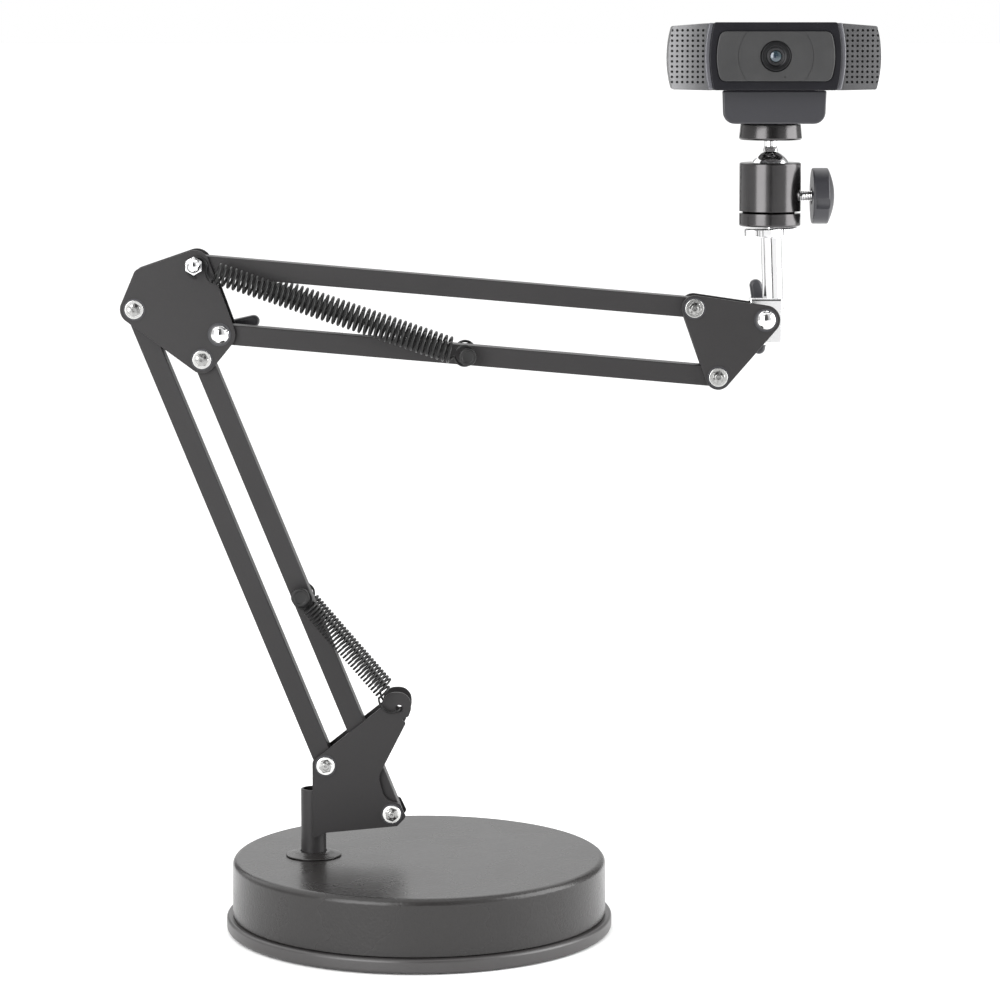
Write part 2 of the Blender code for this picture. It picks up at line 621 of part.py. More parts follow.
def make_ball_head():
    """Housing with its flex slit, the clamp knob, the ball, its stem and the camera plate."""
    low, high = HOUSING
    cavity = BALL_RADIUS + GAP
    mouth = math.acos((high - BALL_Z) / cavity)
    dome = [(cavity * math.sin(a), BALL_Z + cavity * math.cos(a))
            for a in (mouth + (math.radians(140) - mouth) * i / 5 for i in range(6))]
    throat = dome[-1][0]
    outer = [(HOUSING_RADIUS - 0.8 * MM, high), (HOUSING_RADIUS, high - 0.8 * MM),
             (HOUSING_RADIUS, low + 0.8 * MM), (HOUSING_RADIUS - 0.8 * MM, low)]
    bore = 3.4 * MM
    floor = low + 6.5 * MM
    profile = [dome[0], *outer, (bore, low), (bore, floor), (throat, floor + 1.5 * MM),
               *reversed(dome[1:])]
    housing = turned("ball_housing", profile, black_anodised(), origin=(HEAD_X, 0, 0), steps=24,
                     closed=True)
    slit_depth = HOUSING_RADIUS + 7.0 * MM
    slit = box("housing_slit", (3 * HOUSING_RADIUS, slit_depth, 0.8 * MM),
               (HEAD_X, 7.0 * MM - slit_depth / 2, 319.6 * MM), None)
    combine(housing, cutter(slit))
    thread = 2.2 * MM
    side_bore = rod("housing_side_bore", thread + GAP, (HEAD_X + 8.6 * MM, 0, KNOB_Z),
                    (HEAD_X + 20 * MM, 0, KNOB_Z), None, 16)
    combine(housing, cutter(side_bore))

    knob_near = HEAD_X + 18.3 * MM
    knob_far = knob_near + KNOB_THICKNESS
    screw_tip = HEAD_X + 9.4 * MM
    knob = turned("clamp_knob", [(0.0, knob_far), (4.0 * MM, knob_far - 0.3 * MM),
                                 (8.0 * MM, knob_far - 1.2 * MM),
                                 (10.4 * MM, knob_far - 2.1 * MM),
                                 (KNOB_RADIUS, knob_near + 6.6 * MM),
                                 (KNOB_RADIUS, knob_near + 0.5 * MM),
                                 (KNOB_RADIUS - 0.5 * MM, knob_near), (4.0 * MM, knob_near),
                                 (4.0 * MM, knob_near + 3.0 * MM), (0.0, knob_near + 3.0 * MM)],
                  black_plastic(), origin=(0, 0, KNOB_Z), axis=(1, 0, 0), steps=24)
    screw = rod("clamp_screw", thread, (screw_tip, 0, KNOB_Z),
                (knob_near + 3.0 * MM - GAP, 0, KNOB_Z), chrome(), 16)

    bpy.ops.mesh.primitive_uv_sphere_add(segments=18, ring_count=11, radius=BALL_RADIUS,
                                         location=(HEAD_X, 0, BALL_Z))
    ball = put(smooth(bpy.context.object), chrome())
    ball.name = "ball"
    stem_radius, spigot = 2.75 * MM, 2.0 * MM
    seat = BALL_RADIUS + GAP
    cup = [(seat * math.sin(a), BALL_Z + seat * math.cos(a))
           for a in (math.radians(d) for d in (22.0, 11.0, 0.0))]
    plate_low, plate_high = CAMERA_PLATE
    stem = turned("ball_stem", [(0.0, plate_low + 3.4 * MM), (spigot, plate_low + 3.4 * MM),
                                (spigot, plate_low - GAP), (stem_radius, plate_low - GAP),
                                (stem_radius, BALL_Z + 10.2 * MM), *cup],
                  chrome(), origin=(HEAD_X, 0, 0), steps=16)
    stud = 3.1 * MM
    plate = turned("camera_plate", [(0.0, plate_high + 5.0 * MM), (stud, plate_high + 5.0 * MM),
                                    (stud, plate_high), (CAMERA_PLATE_RADIUS - 1.4 * MM, plate_high),
                                    (CAMERA_PLATE_RADIUS - 0.6 * MM, plate_high - 0.8 * MM),
                                    (CAMERA_PLATE_RADIUS, plate_low + 0.6 * MM),
                                    (CAMERA_PLATE_RADIUS - 0.6 * MM, plate_low),
                                    (spigot + GAP, plate_low),
                                    (spigot + GAP, plate_low + 4.0 * MM), (0.0, plate_low + 4.0 * MM)],
                   black_anodised(), origin=(HEAD_X, 0, 0), steps=26)
    return housing, knob, screw, ball, stem, plate


# ---------------------------------------------------------------- webcam

def make_clip():
    """Folded clip: the foot with the thread, and the arm with the front lip and tilt ears."""
    lip = 4.0 * MM
    foot_top = 371.0 * MM
    foot_front = CLIP_FRONT + lip + 0.5 * MM
    foot_back = FOLD_AXIS.y - 5.0 * MM
    foot = box("clip_foot", (CLIP_WIDTH - 9 * MM, foot_back - foot_front, foot_top - CLIP_BOTTOM),
               (HEAD_X, (foot_back + foot_front) / 2, (foot_top + CLIP_BOTTOM) / 2),
               black_plastic(), 1.0 * MM, 2)
    barrel_half = 8.0 * MM
    neck = box("foot_neck", (2 * barrel_half, 6.0 * MM, 5.0 * MM),
               (HEAD_X, FOLD_AXIS.y - 3.0 * MM, FOLD_AXIS.z), None)
    barrel = rod("foot_barrel", 3.2 * MM, FOLD_AXIS - Vector((barrel_half, 0, 0)),
                 FOLD_AXIS + Vector((barrel_half, 0, 0)), None, 16)
    pin_half = 13.0 * MM
    pin = rod("foot_pin", 1.4 * MM, FOLD_AXIS - Vector((pin_half, 0, 0)),
              FOLD_AXIS + Vector((pin_half, 0, 0)), None, 12)
    for tool in (neck, barrel, pin):
        combine(foot, cutter(tool), "UNION")
    combine(foot, cutter(rod("foot_thread", 3.1 * MM + GAP, (HEAD_X, 0, CLIP_BOTTOM - 5 * MM),
                             (HEAD_X, 0, CAMERA_PLATE[1] + 5.6 * MM), None, 20)))

    plate_floor = foot_top + GAP
    back = FOLD_AXIS.y + 3.0 * MM
    arm = box("clip_arm", (CLIP_WIDTH - 8 * MM, back - CLIP_FRONT, CLIP_TOP - plate_floor),
              (HEAD_X, (back + CLIP_FRONT) / 2, (CLIP_TOP + plate_floor) / 2), black_plastic())
    front = box("arm_lip", (CLIP_WIDTH, lip, CLIP_TOP - CLIP_BOTTOM),
                (HEAD_X, CLIP_FRONT + lip / 2, (CLIP_TOP + CLIP_BOTTOM) / 2), None)
    corners = front.modifiers.new("rounded_corners", "BEVEL")
    corners.width = 2.2 * MM
    corners.segments = 3
    corners.limit_method = "WEIGHT"
    weights = front.data.attributes.new("bevel_weight_edge", "FLOAT", "EDGE")
    for edge in front.data.edges:
        ends = [front.data.vertices[i].co for i in edge.vertices]
        along_y = abs(ends[0].y - ends[1].y) > lip / 2
        weights.data[edge.index].value = 1.0 if along_y and ends[0].z < 0 else 0.0
    combine(arm, cutter(front), "UNION")
    for side in (-1, 1):
        lug = box(f"arm_lug_{side}", (4.0 * MM, 6.0 * MM, 9.0 * MM),
                  FOLD_AXIS + Vector((side * (barrel_half + 2.6 * MM), 0, 1.2 * MM)), None)
        ear = box(f"arm_ear_{side}", (3.0 * MM, 7.0 * MM, 9.4 * MM),
                  TILT_AXIS + Vector((side * 6.2 * MM, 0, -1.6 * MM)), None)
        combine(arm, cutter(lug), "UNION")
        combine(arm, cutter(ear), "UNION")
    fold_bore = rod("arm_fold_bore", 1.7 * MM, FOLD_AXIS - Vector((0.05, 0, 0)),
                    FOLD_AXIS + Vector((0.05, 0, 0)), None, 12)
    tilt_bore = rod("arm_tilt_bore", 1.5 * MM, TILT_AXIS - Vector((0.05, 0, 0)),
                    TILT_AXIS + Vector((0.05, 0, 0)), None, 12)
    combine(arm, cutter(fold_bore))
    combine(arm, cutter(tilt_bore))
    tilt_pin = rod("tilt_pin", 1.2 * MM, TILT_AXIS - Vector((8.2 * MM, 0, 0)),
                   TILT_AXIS + Vector((8.2 * MM, 0, 0)), chrome(), 12)
    return foot, arm, tilt_pin


def body_outline(width, height, bulge):
    """Front outline of the webcam: a long body with rounded corners and bulging ends."""
    x, z = width / 2, height / 2
    flat = x - bulge
    corners = [(-flat, -z, 6.0), (flat, -z, 6.0), (x + 1.6 * MM, 0.0, 15.0), (flat, z, 6.0),
               (-flat, z, 6.0), (-x - 1.6 * MM, 0.0, 15.0)]
    return [Vector((HEAD_X, CAM_Z)) + point
            for point in rounded_outline([(a, b, r * MM) for a, b, r in corners])]


def clip_outline(outline, low, high):
    """The part of an outline between two x values, closed by straight sides."""
    kept = [Vector((min(max(point.x, low), high), point.y)) for point in outline]
    return [point for i, point in enumerate(kept) if (point - kept[i - 1]).length > 0.02 * MM]


def make_webcam():
    """Webcam body: rear shell, two side grilles, centre bezel, face plate, lens and gland."""
    outline = body_outline(CAM_WIDTH, CAM_HEIGHT, 3.4 * MM)
    shell_look = material("satin_grey_plastic", (0.05, 0.05, 0.055), 0.4)
    shell = flat_shape("rear_shell", [outline], CAM_SEAM + GAP, CAM_BACK, shell_look)
    rounding = shell.modifiers.new("rounded_back", "BEVEL")
    rounding.width = 4.0 * MM
    rounding.segments = 2
    rounding.limit_method = "WEIGHT"
    weights = shell.data.attributes.new("bevel_weight_edge", "FLOAT", "EDGE")
    shallow = min(v.co.z for v in shell.data.vertices)
    for edge in shell.data.edges:
        on_back = all(shell.data.vertices[i].co.z < shallow + 0.01 * MM for i in edge.vertices)
        weights.data[edge.index].value = 1.0 if on_back else 0.0
    lug = box("shell_lug", (8.8 * MM, 10.0 * MM, 6.0 * MM),
              TILT_AXIS + Vector((0, -2.0 * MM, 0)), None)
    combine(shell, cutter(lug), "UNION")
    combine(shell, cutter(rod("shell_bore", 1.5 * MM, TILT_AXIS - Vector((9 * MM, 0, 0)),
                              TILT_AXIS + Vector((9 * MM, 0, 0)), None, 12)))
    gland_at = Vector((HEAD_X, CAM_BACK, 393.0 * MM))
    combine(shell, cutter(rod("shell_gland_seat", 3.2 * MM, gland_at + Vector((0, -4 * MM, 0)),
                              gland_at + Vector((0, 4 * MM, 0)), None, 16)))

    half = BEZEL_WIDTH / 2 + GAP
    grille_look = material("perforated_grille", (0.16, 0.16, 0.17), 0.35, 0.5)
    left = clip_outline(outline, HEAD_X - CAM_WIDTH, HEAD_X - half)
    right = clip_outline(outline, HEAD_X + half, HEAD_X + CAM_WIDTH)
    grilles = [flat_shape("grille_left", [left], CAM_SEAM, GRILLE_FRONT, grille_look, 0.6 * MM),
               flat_shape("grille_right", [right], CAM_SEAM, GRILLE_FRONT, grille_look, 0.6 * MM)]

    bezel = box("front_bezel", (BEZEL_WIDTH, CAM_SEAM - BEZEL_FRONT, 27.8 * MM),
                (HEAD_X, (CAM_SEAM + BEZEL_FRONT) / 2, CAM_Z), gloss_black(), 1.4 * MM, 2)
    combine(bezel, cutter(rod("bezel_bore", 5.0 * MM, (HEAD_X, BEZEL_FRONT - 5 * MM, CAM_Z),
                              (HEAD_X, BEZEL_FRONT + 4 * MM, CAM_Z), None, 20)))
    x, z = FACE_SIZE[0] / 2, FACE_SIZE[1] / 2
    corners = [(HEAD_X - x, CAM_Z - z), (HEAD_X + x, CAM_Z - z), (HEAD_X + x, CAM_Z + z),
               (HEAD_X - x, CAM_Z + z)]
    face_outline = rounded_outline([(a, b, 4.5 * MM) for a, b in corners])
    face_front = BEZEL_FRONT - GAP - 1.0 * MM
    face = flat_shape("face_plate", [face_outline, circle((HEAD_X, CAM_Z), 6.8 * MM, 20)],
                      BEZEL_FRONT - GAP, face_front, gloss_black())
    ring_front = face_front - 0.7 * MM
    lens_ring = turned("lens_ring", [(4.1 * MM, -ring_front), (6.0 * MM, -ring_front),
                                     (6.4 * MM, -ring_front - 0.4 * MM),
                                     (6.4 * MM, -BEZEL_FRONT + GAP), (4.1 * MM, -BEZEL_FRONT + GAP)],
                       black_anodised(), (HEAD_X, 0, CAM_Z), (0, -1, 0), 20, True)
    glass_floor = -BEZEL_FRONT - 2.0 * MM
    glass_rim = -ring_front - 0.9 * MM
    glass = turned("lens_glass", [(0.0, glass_rim + 0.9 * MM), (1.4 * MM, glass_rim + 0.8 * MM),
                                  (2.7 * MM, glass_rim + 0.5 * MM), (3.8 * MM, glass_rim),
                                  (3.8 * MM, glass_floor), (0.0, glass_floor)],
                   material("lens_glass", (0.01, 0.012, 0.03), 0.03), (HEAD_X, 0, CAM_Z),
                   (0, -1, 0), 16)
    gland = turned("cable_gland", [(0.0, 5.6 * MM), (1.9 * MM, 5.6 * MM), (2.4 * MM, 5.0 * MM),
                                   (2.9 * MM, 0.4 * MM), (4.2 * MM, 0.4 * MM),
                                   (4.2 * MM, GAP), (2.9 * MM, GAP),
                                   (2.9 * MM, -3.2 * MM), (0.0, -3.2 * MM)],
                   black_plastic(), gland_at, (0, 1, 0), 16)
    return [shell, *grilles, bezel, face, lens_ring, glass, gland]


# ---------------------------------------------------------------- assembly

def make_lower_arm():
    """Tube, shoulder bracket, the two lower bars and their springs."""
    tube = turned("post_tube", [(TUBE_RADIUS - TUBE_WALL, TUBE_TOP), (TUBE_RADIUS, TUBE_TOP),
                                (TUBE_RADIUS, 4.4 * MM), (TUBE_RADIUS - TUBE_WALL, 4.4 * MM)],
                  powder_coat(), origin=(TUBE_X, 0, 0), steps=24, closed=True)
    plates = plate_pair("shoulder_plate", shoulder_outline(),
                        [PIVOT["shoulder_outer"], PIVOT["shoulder_inner"]], powder_coat(), EAR)
    bolts = [pivot_bolt("shoulder_bolt_outer", PIVOT["shoulder_outer"]),
             pivot_bolt("shoulder_bolt_inner", PIVOT["shoulder_inner"])]
    swivel = carried("base_swivel", (TUBE_X, 0, 0))
    attach(swivel, [tube, *plates, *bolts])

    outer = bar("lower_bar_outer", PIVOT["shoulder_outer"], LOWER_ANGLE,
                [PIVOT["shoulder_outer"], PIVOT["elbow_outer"]])
    inner = bar("lower_bar_inner", PIVOT["shoulder_inner"], LOWER_ANGLE,
                [PIVOT["shoulder_inner"], PIVOT["elbow_inner"], LOWER_PIN])
    loop_y = BAR / 2 + 2 * LOWER_COIL_RADIUS - 1.6 * MM
    pin = spring_pin("lower_spring_pin", LOWER_PIN, 2.1 * MM, 4.1 * MM, loop_y)
    outer_axis = carried("outer_bar", in_plane(PIVOT["shoulder_outer"]), swivel)
    inner_axis = carried("inner_bar", in_plane(PIVOT["shoulder_inner"]), swivel)
    attach(outer_axis, [outer])
    attach(inner_axis, [inner, pin])
    springs, ends = make_lower_springs()
    spring_axis = carried("lower_springs", in_plane(EAR), swivel)
    attach(spring_axis, springs)
    attach(carried("lower_spring_ends", in_plane(LOWER_PIN), spring_axis), ends)
    return outer_axis


def make_upper_arm(outer_axis):
    """Elbow bracket, the two upper bars with their springs, and the end bracket."""
    elbow_discs = [(PIVOT["elbow_outer"], 6.3 * MM), (PIVOT["elbow_outer"] + Vector((3.2, 14.6)) * MM,
                                                    3.5 * MM),
                   (PIVOT["elbow_top"], 6.6 * MM), (PIVOT["elbow_bottom"], 7.0 * MM),
                   (PIVOT["elbow_inner"], 6.1 * MM)]
    elbow_names = ["elbow_outer", "elbow_inner", "elbow_top", "elbow_bottom"]
    plates = plate_pair("elbow_plate", hull_outline(elbow_discs),
                        [PIVOT[name] for name in elbow_names], powder_coat())
    bolts = [pivot_bolt("elbow_bolt_outer", PIVOT["elbow_outer"]),
             pivot_bolt("elbow_bolt_inner", PIVOT["elbow_inner"])]
    nut_face = PLATE_OUTER + 2 * UPPER_WIRE + 4 * GAP
    stud_end = nut_face + 3.0 * MM
    stud = turned("elbow_top_bolt", [(0.0, stud_end), (PIN_RADIUS, stud_end),
                                     (PIN_RADIUS, -nut_face), (3.7 * MM, -nut_face),
                                     (3.7 * MM, -nut_face - 2.6 * MM),
                                     (1.8 * MM, -nut_face - 4.4 * MM), (0.0, -nut_face - 4.8 * MM)],
                  chrome(), in_plane(PIVOT["elbow_top"]), (0, -1, 0), 12)
    acorn = turned("elbow_acorn_nut", [(0.0, nut_face + 5.6 * MM), (1.9 * MM, nut_face + 5.1 * MM),
                                       (3.1 * MM, nut_face + 3.6 * MM), (4.1 * MM, nut_face + 2.8 * MM),
                                       (4.1 * MM, nut_face), (HOLE_RADIUS, nut_face),
                                       (HOLE_RADIUS, stud_end + GAP), (0.0, stud_end + GAP)],
                   chrome(), in_plane(PIVOT["elbow_top"]), (0, -1, 0), 12)
    clamp_bolt = carriage_bolt("elbow_clamp_bolt", PIVOT["elbow_bottom"])
    elbow_axis = carried("elbow", in_plane(PIVOT["elbow_outer"]), outer_axis)
    attach(elbow_axis, [*plates, *bolts, stud, acorn, clamp_bolt])
    wing = wing_nut("elbow_wing_nut", PIVOT["elbow_bottom"],
                    (math.radians(17), math.radians(181)))
    attach(carried("elbow_wing", in_plane(PIVOT["elbow_bottom"]), elbow_axis), [wing])

    top = bar("upper_bar_top", PIVOT["elbow_top"], UPPER_ANGLE,
              [PIVOT["elbow_top"], PIVOT["end_top"]])
    bottom = bar("upper_bar_bottom", PIVOT["elbow_bottom"], UPPER_ANGLE,
                 [PIVOT["elbow_bottom"], PIVOT["end_bottom"], UPPER_PIN])
    loop_y = PLATE_OUTER + UPPER_COIL_RADIUS + 2 * UPPER_WIRE + 2 * GAP
    pin = spring_pin("upper_spring_pin", UPPER_PIN, 2.1 * MM, 3.8 * MM, loop_y)
    top_axis = carried("top_bar", in_plane(PIVOT["elbow_top"]), elbow_axis)
    bottom_axis = carried("bottom_bar", in_plane(PIVOT["elbow_bottom"]), elbow_axis)
    attach(top_axis, [top])
    attach(bottom_axis, [bottom, pin])
    springs, ends = make_upper_springs()
    spring_axis = carried("upper_springs", in_plane(PIVOT["elbow_top"]), elbow_axis)
    attach(spring_axis, springs)
    attach(carried("upper_spring_ends", in_plane(UPPER_PIN), spring_axis), ends)

    end_discs = [(PIVOT["end_top"], 5.7 * MM), (PIVOT["head"], 6.3 * MM),
                 (PIVOT["end_bottom"], 5.6 * MM)]
    end_plates = plate_pair("end_plate", hull_outline(end_discs),
                            [PIVOT["end_top"], PIVOT["end_bottom"], PIVOT["head"]], powder_coat())
    end_bolts = [pivot_bolt("end_bolt_top", PIVOT["end_top"]),
                 pivot_bolt("end_bolt_bottom", PIVOT["end_bottom"])]
    end_axis = carried("end_bracket", in_plane(PIVOT["end_top"]), top_axis)
    attach(end_axis, [*end_plates, *end_bolts, carriage_bolt("head_bolt", PIVOT["head"])])
    head_wing = wing_nut("head_wing_nut", PIVOT["head"], (math.radians(103), math.radians(264)))
    attach(carried("head_wing", in_plane(PIVOT["head"]), end_axis), [head_wing])
    return end_axis


def make_head(end_axis):
    """Post, ball head and webcam, each moving piece on its own axis."""
    knuckle, post, ring = make_post()
    combine(knuckle, cutter_copy(post), "UNION")
    bpy.data.objects.remove(post, do_unlink=True)
    knuckle_axis = carried("head_tilt", in_plane(PIVOT["head"]), end_axis)
    attach(knuckle_axis, [knuckle])
    attach(carried("lock_ring", ring.matrix_world.translation, knuckle_axis), [ring])
    housing, knob, screw, ball, stem, plate = make_ball_head()
    housing_axis = carried("housing_swivel", (HEAD_X, 0, HOUSING[0]), knuckle_axis)
    attach(housing_axis, [housing])
    attach(carried("clamp_knob", (HEAD_X, 0, KNOB_Z), housing_axis), [knob, screw])
    ball_axis = carried("ball", (HEAD_X, 0, BALL_Z), housing_axis)
    attach(ball_axis, [ball])
    stem_axis = carried("ball_stem", (HEAD_X, 0, BALL_Z), ball_axis)
    attach(stem_axis, [stem])
    foot, arm, tilt_pin = make_clip()
    pan_axis = carried("camera_pan", (HEAD_X, 0, CAMERA_PLATE[0]), stem_axis)
    attach(pan_axis, [plate, foot])
    fold_axis = carried("clip_fold", FOLD_AXIS, pan_axis)
    attach(fold_axis, [arm, tilt_pin])
    attach(carried("webcam_tilt", TILT_AXIS, fold_axis), make_webcam())


def cutter_copy(piece):
    """A hidden copy of a piece, to join it to another."""
    copy = piece.copy()
    copy.data = piece.data.copy()
    copy.name = piece.name + "_tool"
    PARTS.objects.link(copy)
    return cutter(copy)


make_base()
make_head(make_upper_arm(make_lower_arm()))
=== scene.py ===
"""Webcam on a spring-balanced desk arm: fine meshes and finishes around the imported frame.

Every length is in metres in the frame's own axes: +Z up, the webcam looks along -Y and the arm
lies in the XZ plane. Corner lists are written in millimetres and scaled by rounded_path.
"""

from __future__ import annotations

import json
import logging
import math
from dataclasses import dataclass
from enum import Enum
from typing import Any, Iterable, Sequence

import bpy
from mathutils import Matrix, Vector
from mathutils.geometry import convex_hull_2d


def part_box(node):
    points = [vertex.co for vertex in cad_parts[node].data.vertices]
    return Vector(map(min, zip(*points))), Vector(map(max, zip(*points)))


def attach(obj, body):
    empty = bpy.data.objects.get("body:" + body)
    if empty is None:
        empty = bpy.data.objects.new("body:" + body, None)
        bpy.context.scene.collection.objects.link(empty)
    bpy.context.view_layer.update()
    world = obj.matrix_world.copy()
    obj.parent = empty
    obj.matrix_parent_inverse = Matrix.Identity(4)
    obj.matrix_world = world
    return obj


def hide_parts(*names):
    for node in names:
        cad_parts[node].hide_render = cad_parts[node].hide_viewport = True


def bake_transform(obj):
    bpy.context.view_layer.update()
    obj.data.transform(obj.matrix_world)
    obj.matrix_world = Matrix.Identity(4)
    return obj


MM = 0.001
WELD = 0.002 * MM                   # vertices closer than this are one vertex
X, Y, Z = Vector((1, 0, 0)), Vector((0, 1, 0)), Vector((0, 0, 1))
LOG = logging.getLogger("webcam_arm")

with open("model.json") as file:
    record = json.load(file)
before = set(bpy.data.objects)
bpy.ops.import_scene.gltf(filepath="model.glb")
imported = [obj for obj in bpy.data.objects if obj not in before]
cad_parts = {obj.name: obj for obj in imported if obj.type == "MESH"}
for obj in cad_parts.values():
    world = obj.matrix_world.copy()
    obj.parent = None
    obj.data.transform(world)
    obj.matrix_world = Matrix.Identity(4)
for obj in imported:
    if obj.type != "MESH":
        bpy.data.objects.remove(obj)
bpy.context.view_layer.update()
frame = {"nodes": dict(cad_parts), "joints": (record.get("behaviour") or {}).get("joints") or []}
JOINTS = {joint["name"]: joint for joint in frame["joints"]}


# ---------------------------------------------------------------- shader graph

class Signal:
    """One value in a material's node tree, with arithmetic that adds Math nodes."""

    def __init__(self, graph: Graph, socket: bpy.types.NodeSocket) -> None:
        """Wrap an output socket of a graph."""
        self.graph = graph
        self.socket = socket

    def __add__(self, other: Signal | float) -> Signal:
        """Sum of two values."""
        return self.graph.math("ADD", self, other)

    def __radd__(self, other: float) -> Signal:
        """Sum with the number first."""
        return self.graph.math("ADD", other, self)

    def __sub__(self, other: Signal | float) -> Signal:
        """Difference of two values."""
        return self.graph.math("SUBTRACT", self, other)

    def __rsub__(self, other: float) -> Signal:
        """Difference with the number first."""
        return self.graph.math("SUBTRACT", other, self)

    def __mul__(self, other: Signal | float) -> Signal:
        """Product of two values."""
        return self.graph.math("MULTIPLY", self, other)

    def __rmul__(self, other: float) -> Signal:
        """Product with the number first."""
        return self.graph.math("MULTIPLY", other, self)

    def __pow__(self, other: float) -> Signal:
        """Power of a value."""
        return self.graph.math("POWER", self, other)

    def spread(self, low: float, high: float) -> Signal:
        """A value from 0 to 1 stretched over a range."""
        return self * (high - low) + low


class Graph:
    """The node tree of one material, built around its Principled shader."""

    def __init__(self, tree: bpy.types.NodeTree) -> None:
        """Start from a node tree."""
        self.tree = tree
        self._place: Signal | None = None

    def node(self, kind: str, settings: dict[str, Any], inputs: dict[Any, Any]) -> bpy.types.Node:
        """Add one node.

        Args:
            kind: the node's type.
            settings: its properties, set first; "stops" are a colour ramp's (place, grey) pairs.
            inputs: values or signals for its sockets, by name or by index.

        Returns:
            The node.
        """
        made = self.tree.nodes.new(kind)
        for key, value in settings.items():
            if key == "stops":
                ramp = made.color_ramp
                while len(ramp.elements) < len(value):
                    ramp.elements.new(0.5)
                for element, (place, grey) in zip(ramp.elements, value):
                    element.position = place
                    element.color = (grey, grey, grey, 1.0)
            else:
                setattr(made, key, value)
        for key, value in inputs.items():
            if isinstance(value, Signal):
                self.tree.links.new(value.socket, made.inputs[key])
            else:
                made.inputs[key].default_value = value
        return made

    def signal(self, kind: str, settings: dict[str, Any], inputs: dict[Any, Any],
               output: str | int = 0) -> Signal:
        """Add one node and return one of its outputs as a signal."""
        return Signal(self, self.node(kind, settings, inputs).outputs[output])

    def math(self, operation: str, *values: Signal | float) -> Signal:
        """Add a Math node."""
        return self.signal("ShaderNodeMath", {"operation": operation}, dict(enumerate(values)))

    def place(self) -> Signal:
        """Object coordinates, in metres, shared by the whole graph."""
        if self._place is None:
            self._place = self.signal("ShaderNodeTexCoord", {}, {}, "Object")
        return self._place

    def noise(self, size: float, detail: float = 2.0, stretch: Sequence[float] = (1, 1, 1)) -> Signal:
        """Noise whose features are about one size across, stretched along the axes."""
        where = self.signal("ShaderNodeMapping", {}, {"Vector": self.place(), "Scale": stretch})
        return self.signal("ShaderNodeTexNoise", {},
                           {"Vector": where, "Scale": 1.0 / size, "Detail": detail}, "Fac")

    def cells(self, size: float) -> Signal:
        """Distance to the nearest of many scattered points, a size apart."""
        return self.signal("ShaderNodeTexVoronoi", {},
                           {"Vector": self.place(), "Scale": 1.0 / size}, "Distance")

    def rings(self, pitch: float, direction: str) -> Signal:
        """Fine tool marks, a pitch apart, across one axis."""
        return self.signal("ShaderNodeTexWave", {"bands_direction": direction},
                           {"Vector": self.place(), "Scale": 0.314 / pitch, "Distortion": 0.4},
                           "Fac")

    def mix(self, factor: Signal | float, first: Any, second: Any) -> Signal:
        """Blend two colours."""
        return self.signal("ShaderNodeMix", {"data_type": "RGBA"},
                           {0: factor, 6: first, 7: second}, 2)

    def bump(self, height: Signal, depth: float, strength: float = 1.0) -> Signal:
        """Normal of a surface with relief of a depth in metres."""
        return self.signal("ShaderNodeBump", {},
                           {"Strength": strength, "Distance": depth, "Height": height}, "Normal")

    def surface(self, **sockets: Any) -> None:
        """Feed the Principled shader's sockets, named with _ for spaces."""
        shader = self.tree.nodes["Principled BSDF"]
        for key, value in sockets.items():
            socket = shader.inputs[key.replace("_", " ")]
            if isinstance(value, Signal):
                self.tree.links.new(value.socket, socket)
            else:
                socket.default_value = value


# ---------------------------------------------------------------- finishes

def shade(colour: Sequence[float], gain: float) -> tuple[float, float, float, float]:
    """A colour made lighter or darker, with full alpha."""
    return (*(min(1.0, part * gain) for part in colour), 1.0)


@dataclass(frozen=True)
class Finish:
    """A surface finish: its name, its slot in the record and its colour."""

    name: str
    slot: str
    colour: tuple[float, float, float]

    def material(self) -> bpy.types.Material:
        """The finish's material, made once."""
        made = bpy.data.materials.get(self.name)
        if made is None:
            made = bpy.data.materials.new(self.name)
            made.use_nodes = True
            self.dress(Graph(made.node_tree))
        return made

    def dress(self, graph: Graph) -> None:
        """Feed the shader. Each kind of finish does this in its own way."""
        raise NotImplementedError


@dataclass(frozen=True)
class PowderCoat(Finish):
    """Baked powder paint with a pebbled grain."""

    grain: float = 1.1 * MM
    relief: float = 0.05 * MM
    gloss: float = 0.42
    specular: float = 0.5

    def dress(self, graph: Graph) -> None:
        """Pebbles from cells and noise, with a slow drift in tone."""
        pebbles = graph.cells(self.grain) * 0.55 + graph.noise(self.grain * 0.7, 3.0) * 0.6
        drift = graph.noise(22 * MM, 2.0)
        tone = graph.mix(drift * 0.6 + pebbles * 0.4, shade(self.colour, 0.84),
                         shade(self.colour, 1.16))
        graph.surface(Base_Color=tone,
                      Roughness=drift.spread(self.gloss - 0.05, self.gloss + 0.06),
                      Specular_IOR_Level=self.specular,
                      Normal=graph.bump(pebbles, self.relief))


@dataclass(frozen=True)
class Plating(Finish):
    """Bright plated metal with faint buffing marks."""

    gloss: float = 0.07

    def dress(self, graph: Graph) -> None:
        """Stretched scratches in the roughness and a very faint waviness."""
        marks = graph.noise(0.35 * MM, 3.0, (1.0, 1.0, 0.06))
        haze = graph.noise(6 * MM, 2.0)
        graph.surface(Base_Color=graph.mix(haze, shade(self.colour, 0.94), shade(self.colour, 1.04)),
                      Metallic=1.0,
                      Roughness=(marks * 0.6 + haze * 0.4).spread(self.gloss - 0.03, self.gloss + 0.05),
                      Normal=graph.bump(haze, 0.02 * MM, 0.35))


